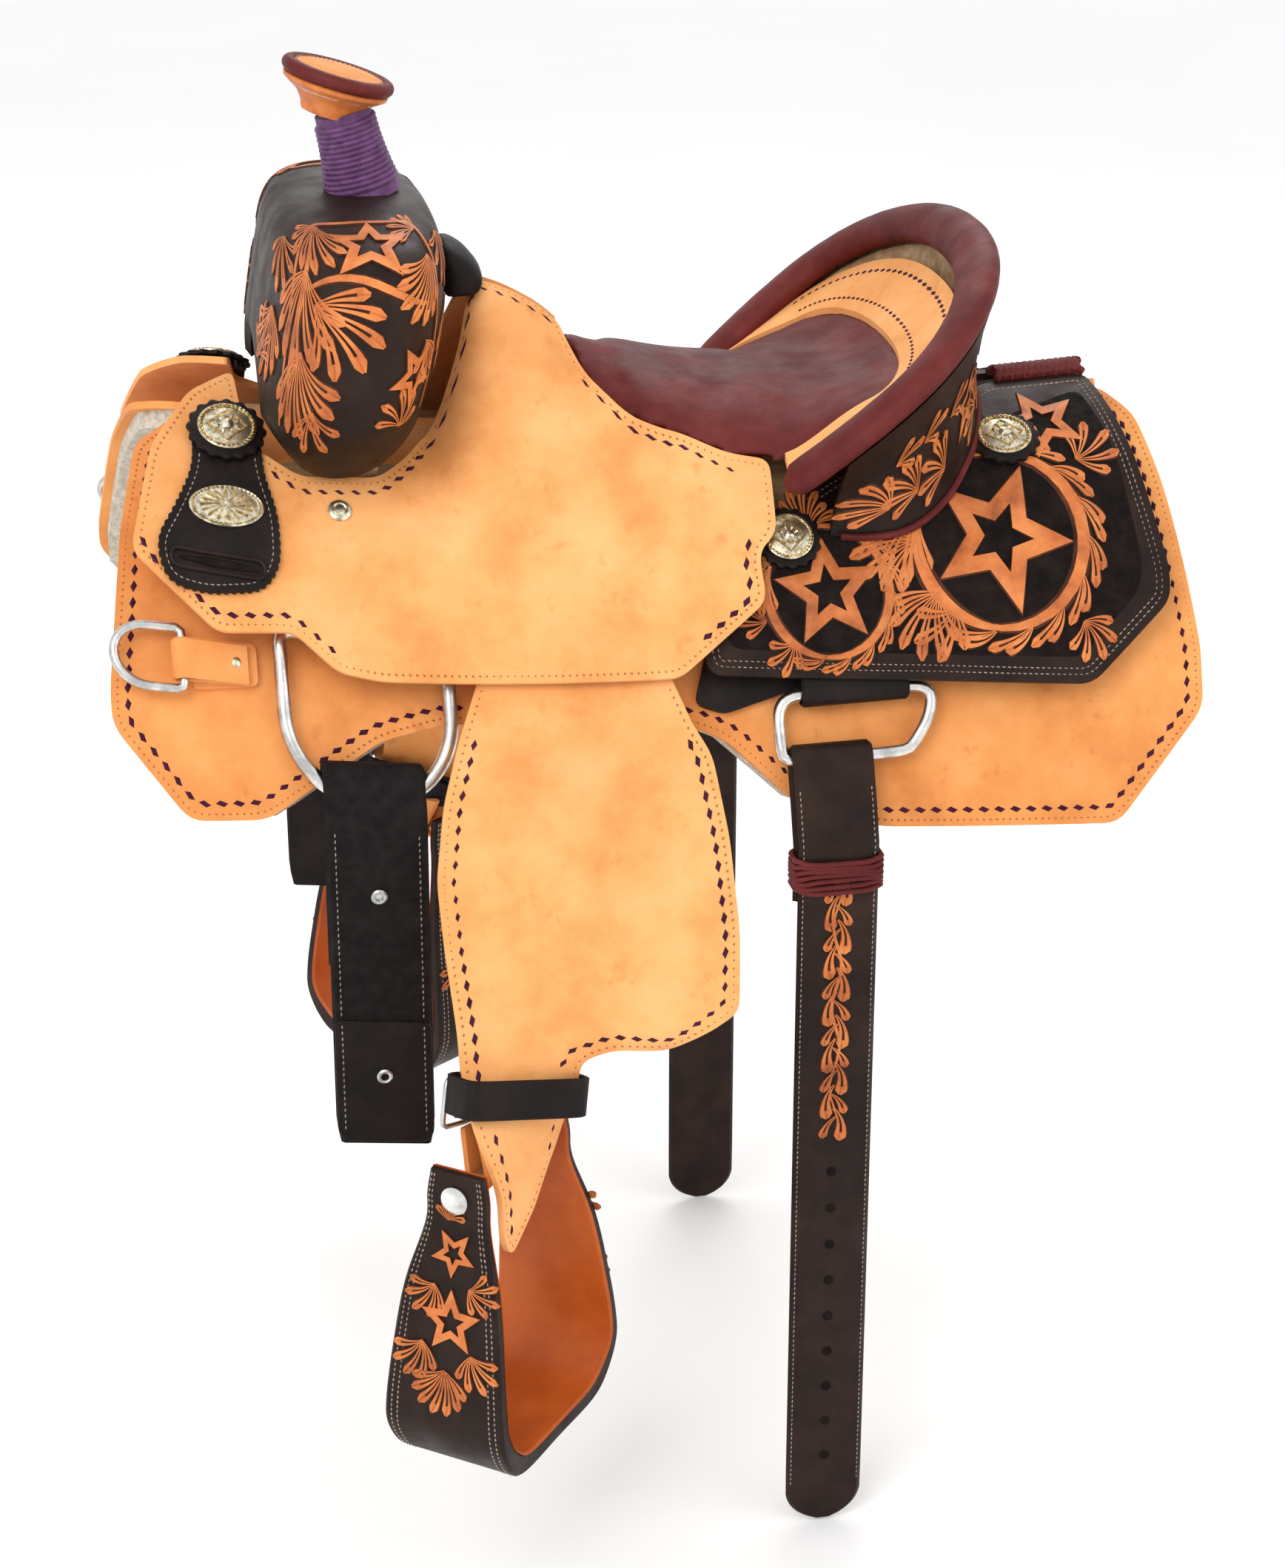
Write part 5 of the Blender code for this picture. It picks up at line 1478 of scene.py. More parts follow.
def rigging(side, word):
    carry(f"front_rigging_{word}", BLACK)
    outline = rounded([(0.020, 0.150), (0.140, 0.150), (0.142, 0.193), (0.072, 0.194),
                       (0.022, 0.207),
                       (0.004, 0.200)], 0.006)
    add(f"rear_rigging_leather_{word}", sheet(outline, STRAP, side, side_point), BLACK,
        nodes=[f"rear_rigging_{word}"], bevel=0.001)
    fold(side, REAR_DEE_X, REAR_DEE_TOP_S, 0.180, DEE_MIDDLE, 0.0062, 0.034, 0.0030, BLACK,
         f"rear_rigging_loop_{word}")
    outline = rounded([(-0.301, 0.163), (-0.262, 0.166), (-0.262, 0.190), (-0.301, 0.195)], 0.004)
    add(f"breast_dee_leather_{word}", sheet(outline, (SKIRT[1] + 0.0003, 0.0225), side, side_point),
        SKIRTING,
        nodes=[f"breast_dee_tab_{word}"], bevel=0.001)
    out = side_normal(BREAST_BAR_S, side)
    path = [side_point(-0.268, BREAST_BAR_S, 0.0240, side),
            side_point(-0.292, BREAST_BAR_S, 0.0236, side)]
    bar = side_point(BREAST_BAR_X, BREAST_BAR_S, BREAST_DEE_MIDDLE, side)
    forward = Vector((-1, 0, 0))
    for degrees in range(0, 181, 15):
        a = math.radians(degrees)
        path.append(bar + (-out * math.cos(a) + forward * math.sin(a)) * 0.0056)
    path += [side_point(-0.290, BREAST_BAR_S, 0.0325, side),
             side_point(-0.268, BREAST_BAR_S, 0.0270, side)]
    down = (side_point(-0.29, 0.184, 0, side) - side_point(-0.29, 0.174, 0, side)).normalized()
    add(f"breast_dee_loop_{word}", ribbon(path, 0.0125, 0.0024, down), SKIRTING)
    rivet = side_point(-0.276, BREAST_BAR_S, 0.0285, side)
    add(f"breast_dee_rivet_{word}",
        turned([(0.0042, -0.001), (0.0042, 0.0008), (0.0030, 0.0018), (0.001, 0.0021)],
                                           rivet, out, 20), SILVER)


def folded_path(side, x, bar_s, bar_reach, thickness, inner_length, length, leave_s, lean=0.0):
    """The middle line of a strap folded over a bar; the ends follow the skirt and then hang."""
    turn = 0.0057 + thickness / 2
    inner, outer = DEE_MIDDLE - turn, DEE_MIDDLE + turn

    def fall(h, total):
        points = [side_point(x, mix(bar_s, leave_s, k / 5), h, side) for k in range(1, 6)]
        below = total - (side_point(x, bar_s, h, side).z - points[-1].z)
        drop = Vector((0, -side * lean * below, -below))
        return points + [points[-1] + drop * k / 24 for k in range(1, 25)]
    bar = side_point(x, bar_s, DEE_MIDDLE, side)
    out = side_normal(bar_s, side)
    up = Vector((0, -side * out.z, abs(out.y)))
    over = [bar + up * bar_reach + (out * -math.cos(a) + up * math.sin(a)) * turn
            for a in (math.radians(d) for d in range(0, 181, 15))]
    back = list(reversed(fall(inner, inner_length)))
    front = fall(outer, length)
    middle_in, middle_out = ([side_point(x, bar_s, h,
                                         side)] if bar_reach > 0.001 else [] for h in (inner,
                                                                                       outer))
    return back + middle_in + over + middle_out + front, front


def on_strap(front, across, side, thickness):
    """(u, v, h) on a hanging strap's face: u across it, v down it from its fold."""
    lengths = [0.0]
    for a, b in zip(front, front[1:]):
        lengths.append(lengths[-1] + (b - a).length)

    def at(u, v, h):
        i = 0
        while i < len(front) - 2 and lengths[i + 1] < v:
            i += 1
        part = (v - lengths[i]) / (lengths[i + 1] - lengths[i])
        tangent = (front[i + 1] - front[i]).normalized()
        out = tangent.cross(across).normalized()
        if out.dot(Vector((0, side, 0))) < 0:
            out = -out
        return front[i].lerp(front[i + 1], part) + across * u + out * (thickness / 2 + h)
    return at, lengths[-1]


def strap_widths(count, half):
    """Half-widths along a strap whose last two stations narrow a little."""
    widths = [half] * count
    for k in range(2):
        widths[-1 - k] = half * mix(0.86, 1.0, math.sqrt((k + 0.3) / 2))
    return widths


def front_strap(side, word, body):
    lowest = FRONT_DEE_S + FRONT_DEE_HALF
    path, front = folded_path(side, FRONT_DEE_X, lowest, 0.0155, FRONT_STRAP_THICKNESS, 0.110,
                              0.235,
                              0.262, 0.04)
    across = level_at(side, FRONT_DEE_X, lowest)
    widths = strap_widths(len(path), FRONT_STRAP_HALF)
    add(f"front_strap_{word}", ribbon(path, widths, FRONT_STRAP_THICKNESS, across), NYLON, body,
        [body])
    at, length = on_strap(front, across, side, FRONT_STRAP_THICKNESS)
    outline = rounded([(-0.0300, length - 0.088), (0.0300, length - 0.088),
                       (0.0305, length - 0.010),
                       (0.0270, length - 0.002), (-0.0270, length - 0.002),
                       (-0.0305, length - 0.010)], 0.003)
    add(f"front_strap_leather_{word}", plate(outline, 0.005, at, -0.0044, 0.0016), BLACK, body,
        bevel=0.0008)
    rows = []
    for u in (-0.0255, 0.0255):
        rows.append(stitch_row([(u, 0.02), (u, length - 0.092)], at, *WEB_STITCH, False))
        rows.append(stitch_row([(u, length - 0.084), (u, length - 0.012)],
                               on_strap(front, across, side, 0.0067)[0], *WEB_STITCH, False))
    add(f"front_strap_thread_{word}", join(rows), THREAD, body)
    for k, v in enumerate((0.060, length - 0.050)):
        spot = at(0, v, 0.0)
        out = (at(0, v, 0.01) - spot).normalized()
        eyelet = turned([(0.0030, -0.0005), (0.0048, -0.0005), (0.0050, 0.0014 + 0.0016 * k),
                         (0.0040, 0.0022 + 0.0016 * k), (0.0026, 0.0020 + 0.0016 * k),
                         (0.0022, 0.0004)],
                        spot, out, 24)
        add(f"front_strap_eyelet_{word}_{k}", eyelet, STEEL, body)


def rear_billet(side, word):
    body = f"rear_billet_{word}"
    path, front = folded_path(side, BILLET_X, REAR_DEE_BOTTOM_S, 0.0, BILLET_THICKNESS, 0.085,
                              0.544,
                              0.290)
    across = level_at(side, BILLET_X, REAR_DEE_BOTTOM_S)
    fine = path[:-1] + [mix(path[-2], path[-1], k / 8) for k in range(1, 9)]
    widths = [BILLET_HALF] * len(fine)
    for k in range(9):
        widths[-1 - k] = BILLET_HALF * math.sqrt(max(1 - (1 - (k + 0.25) / 9.25) ** 2, 0.02))
    add(f"rear_billet_leather_{word}", ribbon(fine, widths, BILLET_THICKNESS, across), CHOCOLATE,
        body, [body])
    at, length = on_strap(front, across, side, BILLET_THICKNESS)
    rows = [stitch_row([(u, 0.010), (u, length - 0.030)], at, *BILLET_THREAD, False)
            for u in (-0.0225, 0.0225)]
    add(f"rear_billet_thread_{word}", join(rows), THREAD, body)
    strip = bmesh.new()
    for k in range(11):
        v = 0.060 + 0.0165 * k
        leaf(strip, at, (0.000, v), math.pi / 2 + (0.6 if k % 2 else -0.6), 0.025, 1.0 * (-1) ** k,
             0.0064)
        leaf(strip, at, (0.002 * (-1) ** k, v + 0.006), math.pi / 2 + (-0.9 if k % 2 else 0.9),
             0.018,
             0.8 * (-1) ** (k + 1), 0.0046)
    stem(strip, at, [(0.003 * math.sin(k * 0.95), 0.055 + 0.0085 * k) for k in range(22)], 0.0018)
    add(f"rear_billet_carving_{word}", strip, CARVED, body, angle=60)
    # The billet's holes are not cut through: each is a near-black disc of painted shade laid on the
    # leather.
    holes = []
    for k in range(9):
        spot = at(0, length - 0.050 - 0.027 * k, 0)
        out = (at(0, length - 0.050 - 0.027 * k, 0.01) - spot).normalized()
        holes.append(turned([(0.0012, -0.0002), (0.0034, -0.0002), (0.0034, 0.0003),
                             (0.0026, 0.0005),
                             (0.0022, 0.0001), (0.0012, 0.0001)], spot, out, 20))
    add(f"rear_billet_painted_hole_shade_{word}", join(holes), MATTED, body)
    centre = side_point(BILLET_X, 0.290, DEE_MIDDLE, side) + Vector((0, 0, -0.016))
    laces = []
    for k in range(7):
        drop = Vector((0, 0, 0.0096 - 0.0032 * k))
        loop = []
        for i in range(48):
            a = math.tau * i / 48
            wide, deep = math.cos(a), math.sin(a)
            loop.append(centre + drop + Vector((0.0272 * math.copysign(abs(wide) ** 0.35, wide),
                                                side * 0.0128 * math.copysign(abs(deep) ** 0.35,
                                                                              deep),
                                                0.0012 * math.sin(3 * a + k))))
        laces.append(tube(loop, 0.0017, 8, True, Vector((0, 0, 1))))
    add(f"rear_billet_keeper_{word}", join(laces), MAROON, body, [f"rear_billet_lace_{word}"])


# ---------------------------------------------------------------- fender and stirrup leather

FENDER_OUTLINE = [(-0.122, 0.164), (-0.020, 0.164), (-0.004, 0.2115), (0.008, 0.232),
                  (0.015, 0.280),
                  (0.018, 0.335), (0.015, 0.384), (-0.028, 0.411), (-0.064, 0.404), (-0.084, 0.410),
                  (-0.086, 0.470),
                  (-0.118, 0.497), (-0.150, 0.512), (-0.158, 0.500), (-0.158, 0.390),
                  (-0.163, 0.340),
                  (-0.165, 0.300), (-0.158, 0.257), (-0.146, 0.220)]


def fender_surface(x, s, h, side):
    """The fender's top runs up a little closer to the bars, under the seat jockey."""
    return fender_point(x, s, h - 0.0045 * smooth(0.208, 0.186, s) if s < 0.208 else h, side)


def bend(made, side):
    made.parent = None
    side_point(-0.07, 0.183, 0.042, side)
    side_point(-0.07, 0.208, 0.042, side)
    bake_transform(made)


def fender(side, word):
    outline = rounded(FENDER_OUTLINE, 0.008)
    leather_piece = add(f"fender_leather_{word}",
                        sheet(outline, FENDER, side, fender_surface, 0.006), TAN, None)
    bend(leather_piece, side)
    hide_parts(f"fender_{word}")
    at = on(fender_surface, side, FENDER[1])
    row = [p for p in inset(outline, 0.0038) if p[1] > 0.19]
    first = max(range(len(row)),
                key=lambda i: math.hypot(row[i][0] - row[i - 1][0], row[i][1] - row[i - 1][1]))
    row = row[first:] + row[:first]
    dots = add(f"fender_edge_stamp_{word}", stitch_row(row, at, *FENDER_DOT, False), STAMP, None)
    bend(dots, side)
    path = [(-0.137, 0.222), (-0.148, 0.256), (-0.155, 0.300), (-0.153, 0.340), (-0.148, 0.390),
            (-0.148, 0.410)]
    right = [(-0.006, 0.222), (-0.001, 0.235), (0.006, 0.281), (0.009, 0.335), (0.006, 0.378),
             (-0.029, 0.401),
             (-0.064, 0.394), (-0.093, 0.402), (-0.096, 0.412)]
    rows = [stitch_row(line, at, *BUCKSTITCH, False) for line in (path, rounded(right, 0.006)[3:-3],
                                                                           [(-0.147, 0.444),
                                                                            (-0.149, 0.496)],
                                                                           [(-0.096, 0.444),
                                                                            (-0.097, 0.468)])]
    add(f"fender_buckstitch_{word}", join(rows), LACE, f"fender_{word}")
    carry(f"stirrup_leather_{word}", SKIRTING)


def leather_loop(side, word):
    """The doubled stirrup leather, from behind the fender round the bolt."""
    middle = (LOOP[0] + LOOP[1]) / 2
    path, across_list = [], []
    for k in range(40):
        s = mix(0.215, BAR_S, k / 39)
        across, _ = twisted_frame(s, side)
        if s < TWIST_START:
            across = Vector((1, 0, 0))
        x = TWIST_X + 0.030 * (1 - smooth(0.22, 0.36, s))
        path.append(fender_point(x, s, middle, side))
        across_list.append(across)
    across, out = twisted_frame(BAR_S, side)
    strap = fender_point(TWIST_X, BAR_S, LOOP[0], side)
    bolt = strap - out * (BOLT_RADIUS + 0.0006)
    turn = (fender_point(TWIST_X, BAR_S, middle, side) - bolt).dot(out)
    for degrees in range(15, 181, 15):
        a = math.radians(degrees)
        path.append(bolt + (out * math.cos(a) - Vector((0, 0, 1)) * math.sin(a)) * turn)
        across_list.append(across)
    start = path[-1]
    top_across, _ = twisted_frame(0.445, side)
    top = fender_point(TWIST_X, 0.445, middle - 2 * turn, side)
    for k in range(1, 7):
        path.append(start.lerp(top, k / 6))
        across_list.append(across.lerp(top_across, k / 6).normalized())
    add(f"stirrup_leather_strap_{word}", ribbon(path, 0.029, 0.0036, across_list), SKIRTING,
        f"fender_{word}",
        [f"stirrup_leather_loop_{word}"])
    return bolt


def hobble_strap(side, word):
    """The dark strap round the fender's neck, its pointed end laid across the front."""
    s = 0.428
    across, _ = twisted_frame(s, side)
    centre = fender_point(TWIST_X, s, (LOOP[0] + FENDER[1]) / 2, side)
    above = fender_point(TWIST_X, s - 0.01, LOOP[0], side)
    up = (above - fender_point(TWIST_X, s + 0.01, LOOP[0], side)).normalized()
    out = across.cross(up) * side
    loop = []
    for i in range(60):
        a = math.tau * i / 60
        wide, deep = math.cos(a), math.sin(a)
        x = 0.0424 * math.copysign(abs(wide) ** 0.30, wide)
        y = 0.0190 * math.copysign(abs(deep) ** 0.30, deep)
        slope = -0.22 * x
        loop.append(centre + across * x + out * y + up * slope)
    rings = []
    for i, point in enumerate(loop):
        tangent = (loop[(i + 1) % 60] - loop[i - 1]).normalized()
        normal = tangent.cross(up).normalized()
        rings.append([point + up * a + normal * b for a,
                      b in ((-0.0115, 0.0013), (-0.0122, 0.0), (-0.0115, -0.0013),
                                                               (0.0115, -0.0013), (0.0122, 0.0),
                            (0.0115, 0.0013))])
    add(f"hobble_strap_band_{word}", loft(rings, True), BLACK, f"fender_{word}",
        [f"hobble_strap_{word}"])

    def at(u, v, h):
        return centre + across * u + up * v + out * (0.0208 + h)
    outline = rounded([(-0.030, 0.013), (0.024, 0.004), (0.043, -0.008), (0.030, -0.020),
                       (-0.034, -0.010)], 0.005)
    add(f"hobble_strap_tail_{word}", plate(outline, 0.004, at, 0.0, 0.0030), BLACK,
        f"fender_{word}",
        bevel=0.0008)
    frame_line = rounded([(-0.038, 0.015), (-0.018, 0.015), (-0.018, -0.015), (-0.038, -0.015)],
                         0.004)
    ring = [at(u, v, 0.0034) for u, v in resample(frame_line, 0.003)]
    add(f"hobble_buckle_{word}", tube(ring, 0.0017, 10, True, out), STEEL, f"fender_{word}")


# ---------------------------------------------------------------- stirrup

# Half-width, height and half-depth of the band, then its lining's half-width and height.
STIRRUP_STATIONS = [
    (0.0535, 0.0165, 0.0180, 0.0465, 0.0165), (0.0545, 0.000, 0.0205, 0.0475, 0.000),
    (0.0560, -0.020, 0.0215, 0.0488, -0.020), (0.0650, -0.060, 0.032, 0.0565, -0.060),
    (0.0720, -0.105, 0.038, 0.0630, -0.105), (0.0758, -0.138, 0.041, 0.0662, -0.136),
    (0.0740, -0.158, 0.042, 0.0640, -0.152), (0.0620, -0.178, 0.041, 0.0545, -0.165),
    (0.0440, -0.1878, 0.040, 0.0380, -0.1745), (0.0, -0.1880, 0.040, 0.0, -0.1750)]


def stirrup_row(p):
    """The band's section at p, from 0 at a branch's top to 9 at the tread's middle."""
    return [along([(i, row[k]) for i, row in enumerate(STIRRUP_STATIONS)], p) for k in range(5)]


def stirrup(side, word, bolt):
    body = f"stirrup_{word}"
    across, out = twisted_frame(BAR_S, side)
    count = 45
    shares = [9 * i / count for i in range(count + 1)]
    stations = [(-1, p) for p in shares] + [(1, p) for p in reversed(shares[:-1])]
    shell, lining = [], []
    for sign, p in stations:
        w, z, depth, wi, zi = stirrup_row(p)
        outer = bolt + across * (sign * w) + Vector((0, 0, z))
        within = bolt + across * (sign * wi) + Vector((0, 0, zi))
        thick = (outer - within).normalized()
        skin = within + thick * 0.0016
        shell.append([outer + out * (depth - 0.002), outer - thick * 0.0015 + out * depth,
                      skin + out * depth,
                      skin - out * depth, outer - thick * 0.0015 - out * depth,
                      outer - out * (depth - 0.002)])
        lining.append([skin + out * (depth + 0.0006), within + out * (depth - 0.001),
                       within - out * (depth - 0.001), skin - out * (depth + 0.0006)])
    add(f"stirrup_shell_{word}", loft(shell), CHOCOLATE, body, [body], 0.0008)
    add(f"stirrup_lining_{word}", loft(lining), LINER, body)

    def face(sign):
        def at(u, v, h):
            """u across the band's depth, v down the branch in stations."""
            w, z, depth = stirrup_row(v)[:3]
            w2, z2 = stirrup_row(v + 0.05)[:2]
            tangent = (across * (sign * (w2 - w)) + Vector((0, 0, z2 - z))).normalized()
            normal = tangent.cross(out).normalized()
            if normal.dot(across * sign - Vector((0, 0, 0.3))) < 0:
                normal = -normal
            return bolt + across * (sign * w) + Vector((0, 0, z)) + out * (u * depth) + normal * h
        return at
    for sign, label in ((-1, "front"), (1, "rear")):
        at = face(sign)
        rows = []
        for u in (-0.88, 0.88, -0.78, 0.78):
            v = 0.2
            mesh = bmesh.new()
            while v < 8.2:
                here, there = at(u, v, 0.0), at(u, v + 0.05, 0.0)
                step = 0.05 * 0.0036 / max((there - here).length, 1e-5)
                half = step * 0.38
                depth = stirrup_row(v)[2]
                rim = [at(u, v - half, 0), at(u + 0.0006 / depth, v, 0),
                       at(u, v + half, 0), at(u - 0.0006 / depth, v, 0)]
                diamond(mesh, rim, at(u, v, 0.0007), at(u, v, -ROOT))
                v += step
            rows.append(mesh)
        add(f"stirrup_thread_{label}_{word}", join(rows), THREAD, body)
        carving = bmesh.new()

        def carved(x, y, h):
            """x across and y down the branch, both in metres."""
            v = along([(0.0, 0.0), (0.016, 1.0), (0.036, 2.0), (0.077, 3.0), (0.122, 4.0),
                       (0.156, 5.0), (0.176, 6.0)],
                      y)
            return at(x / stirrup_row(v)[2], v, h)
        for row in (
                ((-0.004, 0.030), -2.6, -0.4, 5, 0.016, 0.6, 0.0034),
                ((-0.010, 0.072), 0.9, 2.9, 5, 0.024, 0.7, 0.0040),
                ((0.014, 0.070), -0.6, 1.6, 5, 0.022, -0.6, 0.0038),
                ((-0.016, 0.110), 0.8, 2.6, 5, 0.028, 0.7, 0.0044),
                ((0.018, 0.112), 0.4, 2.3, 5, 0.026, -0.6, 0.0042),
                ((0.000, 0.126), 0.6, 2.6, 7, 0.032, 0.5, 0.0048)):
            fan(carving, carved, *row)
        star(carving, carved, (0.001, 0.050), 0.0165, math.pi / 2)
        star(carving, carved, (0.003, 0.094), 0.0225, 0.9)
        add(f"stirrup_carving_{label}_{word}", carving, CARVED, body,
            angle=60)
        head = turned([(0.0090, 0.0), (0.0090, 0.0016), (0.0060, 0.0030), (0.001, 0.0034)],
                      bolt + across * (sign * 0.0545), across * sign, 24)
        add(f"stirrup_bolt_head_{label}_{word}", head, STEEL, body)
    carry(f"stirrup_bolt_{word}", STEEL)


# ---------------------------------------------------------------- fittings

def surface_frame(place, side, x, s, top):
    base = place(x, s, top, side)
    ahead = (place(x + 0.01, s, top, side) - place(x - 0.01, s, top, side)).normalized()
    down = (place(x, s + 0.01, top, side) - place(x, s - 0.01, top, side)).normalized()
    normal = ahead.cross(down).normalized()
    if normal.dot(side_normal(s, side)) < 0:
        normal = -normal
    return base, ahead, normal.cross(ahead).normalized(), normal


def concho(name, x, s, top, radius, side, place):
    """A silver disc with a cut diamond and a roped rim, on a scalloped black rosette."""
    base, ahead, down, normal = surface_frame(place, side, x, s, top)
    bump = radius * radius / 0.8 + 0.0004
    count = 96
    rings = []
    for h, share in ((0.0, 1.0), (0.0022, 1.0), (0.0030, 0.94)):
        ring = []
        for k in range(count):
            a = math.tau * k / count
            reach = radius * 1.30 * share * (1 + 0.045 * math.cos(a * 16))
            out = ahead * math.cos(a) + down * math.sin(a)
            ring.append(base + normal * (h + bump * 0.4) + out * reach)
        rings.append(ring)
    add(f"{name}_rosette", loft(rings), BLACK)
    lift = base + normal * (bump * 0.4 + 0.0030)
    profile = [(radius * 0.96, 0.0), (radius, 0.0006), (radius, 0.0018), (radius * 0.93, 0.0024),
               (radius * 0.86, 0.0018), (radius * 0.80, 0.0021), (radius * 0.45, 0.0032),
               (radius * 0.02, 0.0037)]
    add(f"{name}_disc", turned(profile, lift, normal, 64), SILVER, nodes=[name])
    rope = []
    for k in range(36):
        a = math.tau * k / 36
        out = ahead * math.cos(a) + down * math.sin(a)
        along_rim = normal.cross(out)
        start = lift + out * (radius * 0.90) + normal * 0.0021
        rope.append(tube([start - along_rim * radius * 0.07 - out * radius * 0.045,
                          start + normal * 0.0006,
                          start + along_rim * radius * 0.07 + out * radius * 0.045], radius * 0.040,
                         6, False, normal))
    add(f"{name}_rope_edge", join(rope), GOLD)
    design = []
    for turn, reach, width in ((0.0, 0.66, 0.05), (math.pi / 4, 0.46, 0.04)):
        angles = [turn + math.pi / 2 * k for k in range(4)]
        corners = [lift + (ahead * math.cos(a) + down * math.sin(a)) * radius * reach for a in angles]
        line = []
        for k in range(4):
            for part in (0.0, 0.25, 0.5, 0.75):
                point = corners[k].lerp(corners[(k + 1) % 4], part)
                away = (point - lift).length / radius
                line.append(point + normal * mix(0.0037, 0.0021, away))
        design.append(tube(line, radius * width, 6, True, normal))
    add(f"{name}_diamond", join(design), GOLD)
    centre = turned([(radius * 0.20, 0.0030), (radius * 0.20, 0.0042), (radius * 0.14, 0.0050),
                     (0.0003, 0.0054)],
                    lift, normal, 24)
    add(f"{name}_boss", centre, SILVER)
    petals = []
    for k in range(8):
        a = math.tau * (k + 0.5) / 8
        out = ahead * math.cos(a) + down * math.sin(a)
        petals.append(tube([lift + out * radius * 0.24 + normal * 0.0036,
                            lift + out * radius * 0.36 + normal * 0.0036,
                            lift + out * radius * 0.50 + normal * 0.0030],
                           lambda t: radius * (0.02 + 0.05 * math.sin(math.pi * t)), 6, False,
                           normal))
    add(f"{name}_petals", join(petals), SILVER)


def keeper(side, word):
    """The keyhole-shaped latigo keeper, its edge pinked, with a slotted plate."""
    outline = arc((-0.270, 0.055), 0.022, 200, 340, 10, 0.020)
    outline += [(-0.250, 0.075), (-0.243, 0.100), (-0.244, 0.128), (-0.255, 0.143), (-0.290, 0.147),
                (-0.313, 0.142), (-0.318, 0.120), (-0.304, 0.098), (-0.292, 0.075)]
    smooth_line = resample(rounded(outline, 0.010), 0.0012)
    middle = (-0.275, 0.105)
    pinked = []
    for k, (x, s) in enumerate(smooth_line):
        away = math.hypot(x - middle[0], s - middle[1])
        tooth = 1 - (0.0010 if k % 4 in (1, 2) else 0.0) / away
        pinked.append((middle[0] + (x - middle[0]) * tooth, middle[1] + (s - middle[1]) * tooth))
    add(f"latigo_keeper_leather_{word}", sheet(pinked, KEEPER, side, jockey_point, 0.008), BLACK,
        nodes=[f"latigo_keeper_{word}"])
    at = on(jockey_point, side, KEEPER[1])
    base, ahead, down, normal = surface_frame(jockey_point, side, -0.274, 0.098, KEEPER[1])
    rings = []
    for share, h in ((1.0, 0.0), (1.0, 0.0014), (0.95, 0.0024), (0.88, 0.0018), (0.80, 0.0020),
                     (0.45, 0.0030),
                     (0.02, 0.0034)):
        rings.append([base + normal * h + ahead * (0.0225 * share * math.cos(a))
                      + down * (0.0140 * share * math.sin(a))
                      for a in (math.tau * k / 64 for k in range(64))])
    add(f"latigo_keeper_plate_{word}", loft(rings), SILVER)
    def on_plate(squeeze):
        return lambda u, v, h: base + normal * (0.0022 + h) + ahead * u + down * v * squeeze
    beads = bmesh.new()
    for k in range(44):
        a = math.tau * k / 44
        pad(beads, on_plate(1.0), 0.0205 * math.cos(a), 0.0126 * math.sin(a), a, 0.0020, 0.0020,
            0.0012)
    for k in range(16):
        a = math.tau * k / 16
        leaf(beads, on_plate(0.62), (0.004 * math.cos(a), 0.004 * math.sin(a)), a, 0.0125, 0.3,
             0.0016,
             0.0012)
    add(f"latigo_keeper_beads_{word}", beads, GOLD)
    welt = rounded([(-0.309, 0.123), (-0.254, 0.127), (-0.254, 0.137), (-0.309, 0.133)], 0.0048)
    ring = [at(x, s, 0.0006) for x, s in resample(welt, 0.0025)]
    add(f"latigo_keeper_welt_{word}", tube(ring, 0.0013, 8, True, normal), CHOCOLATE)
    # The keeper's slot is not cut through: it is a near-black raised strip of painted shade on the
    # leather.
    slit = bmesh.new()
    line = [(mix(-0.304, -0.258, k / 12), mix(0.128, 0.132, k / 12)) for k in range(13)]
    stem(slit, at, line, 0.0026, 0.0010)
    add(f"latigo_keeper_painted_slot_shade_{word}", slit, MATTED)
    add(f"latigo_keeper_thread_{word}",
        stitch_row(inset(rounded(outline, 0.010), 0.0045), at, *KEEPER_THREAD), THREAD)
    base, ahead, down, normal = surface_frame(jockey_point, side, -0.206, 0.094, JOCKEY[1])
    screw = turned([(0.0072, 0.0), (0.0072, 0.0012), (0.0060, 0.0022), (0.0046, 0.0024),
                    (0.0038, 0.0018),
                    (0.0030, 0.0030), (0.001, 0.0034)], base, normal, 32)
    add(f"jockey_screw_{word}", screw, SILVER)


def fittings(side, word):
    for which, x, s, top, radius, place in (
            ("front", -0.270, 0.053, KEEPER[1], 0.0180, jockey_point),
            ("seat", 0.070, 0.111, REAR_JOCKEY[1], 0.0155, rear_jockey_point),
            ("rear", 0.220, 0.058, REAR_JOCKEY[1], 0.0175, rear_jockey_point)):
        concho(f"{which}_concho_{word}", x, s, top, radius, side, place)


# ---------------------------------------------------------------- floor, light and camera

CAMERA_AZIMUTH = math.radians(10)
CAMERA_ELEVATION = math.radians(23)
CAMERA_DISTANCE = 2.2
CAMERA_TARGET = Vector((0.0, 0.0, -0.24))
CAMERA_LENS = 74.8
CAMERA_SENSOR = 36
FLOOR_HALF = 6.0
FLOOR_GAP = 0.002
LIGHT_TARGET = Vector((0, 0, -0.15))
LIGHTS = (("key", (-1.5, -2.2, 2.0), 1.6, 42),      # name, place, size in metres, power in watts
          ("fill", (2.2, -1.8, 1.2), 2.0, 10),
          ("rim", (0.6, 2.2, 1.9), 1.6, 22))


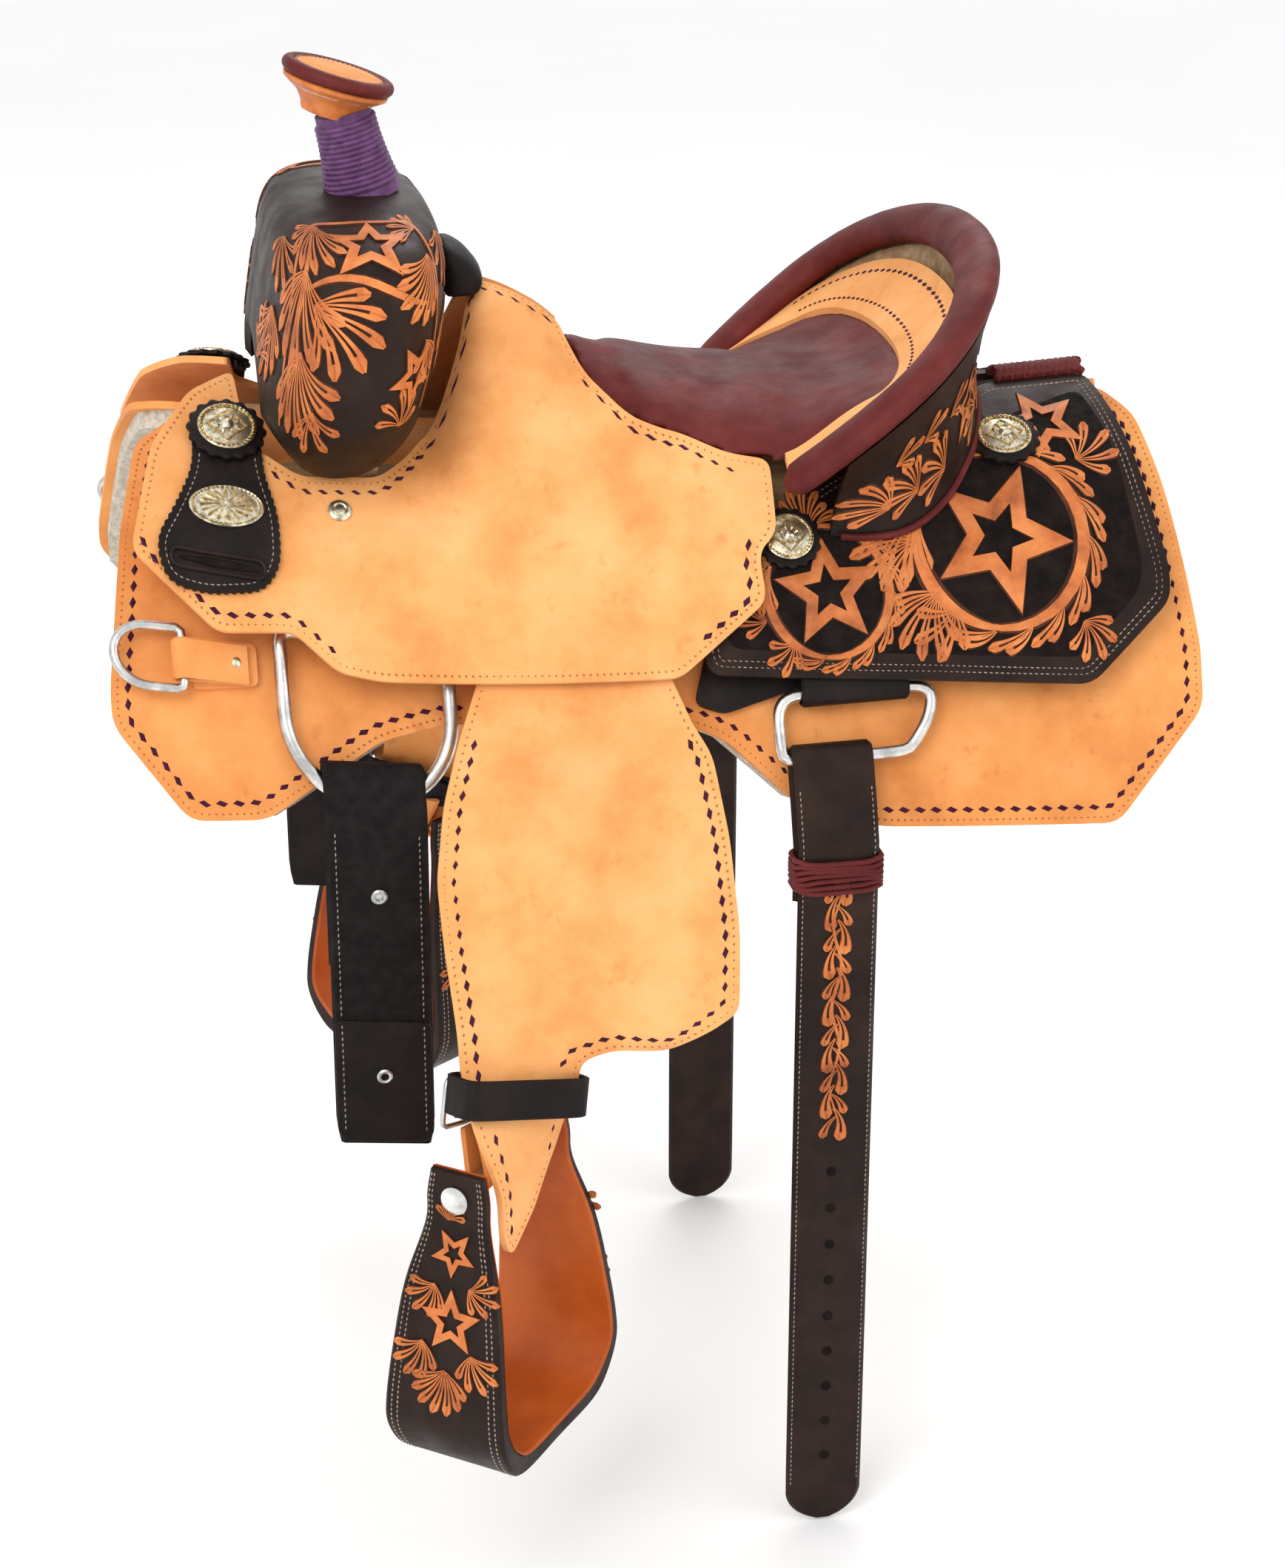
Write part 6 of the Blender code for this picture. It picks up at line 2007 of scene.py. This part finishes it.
def studio():
    floor_mesh = bpy.data.meshes.new("floor")
    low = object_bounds()[0][2] - FLOOR_GAP
    half = FLOOR_HALF
    floor_mesh.from_pydata([(-half, -half, low), (half, -half, low), (half, half, low),
                            (-half, half, low)], [],
                           [(0, 1, 2, 3)])
    floor = bpy.data.objects.new("floor", floor_mesh)
    bpy.context.scene.collection.objects.link(floor)
    made, tree, shader = new_material("floor_paper", 0.9)
    tone = noise_node(tree, 1.5, 2.0)
    tree.links.new(ramp_node(tree, tone, ((0.3, (0.93, 0.93, 0.93)), (0.7, (0.95, 0.95, 0.95)))),
                   shader.inputs["Base Color"])
    floor_mesh.materials.append(made)
    floor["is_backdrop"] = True
    world = bpy.data.worlds.new("studio")
    bpy.context.scene.world = world
    world.use_nodes = True
    world.node_tree.nodes["Background"].inputs["Color"].default_value = (1.0, 1.0, 1.0, 1.0)
    world.node_tree.nodes["Background"].inputs["Strength"].default_value = 1.0
    for name, place, size, power in LIGHTS:
        lamp = bpy.data.lights.new(name, "AREA")
        lamp.size = size
        lamp.energy = power
        holder = bpy.data.objects.new(name, lamp)
        bpy.context.scene.collection.objects.link(holder)
        holder.location = place
        holder.rotation_euler = (LIGHT_TARGET - Vector(place)).to_track_quat("-Z", "Y").to_euler()
    lens = bpy.data.cameras.new("camera")
    lens.lens = CAMERA_LENS
    lens.sensor_width = CAMERA_SENSOR
    camera = bpy.data.objects.new("camera", lens)
    bpy.context.scene.collection.objects.link(camera)
    forward = Vector((math.sin(CAMERA_AZIMUTH) * math.cos(CAMERA_ELEVATION),
                      math.cos(CAMERA_AZIMUTH) * math.cos(CAMERA_ELEVATION),
                      -math.sin(CAMERA_ELEVATION)))
    camera.location = CAMERA_TARGET - forward * CAMERA_DISTANCE
    camera.rotation_euler = forward.to_track_quat("-Z", "Y").to_euler()
    bpy.context.scene.camera = camera
    bpy.context.scene.view_settings.view_transform = "Standard"


def main():
    swell()
    horn()
    seat()
    cantle()
    cantle_inlay()
    cantle_binding()
    rear_lacing()
    hand_hold()
    for side, word in SIDES:
        skirts(side, word)
        seat_jockeys(side, word)
        rear_jockeys(side, word)
        dees(side, word)
        rigging(side, word)
        rear_billet(side, word)
        fender(side, word)
        bolt = leather_loop(side, word)
        hobble_strap(side, word)
        stirrup(side, word, bolt)
        keeper(side, word)
        fittings(side, word)
    front_strap(LEFT, "left", "latigo")
    front_strap(RIGHT, "right", "off_billet")
    studio()


main()
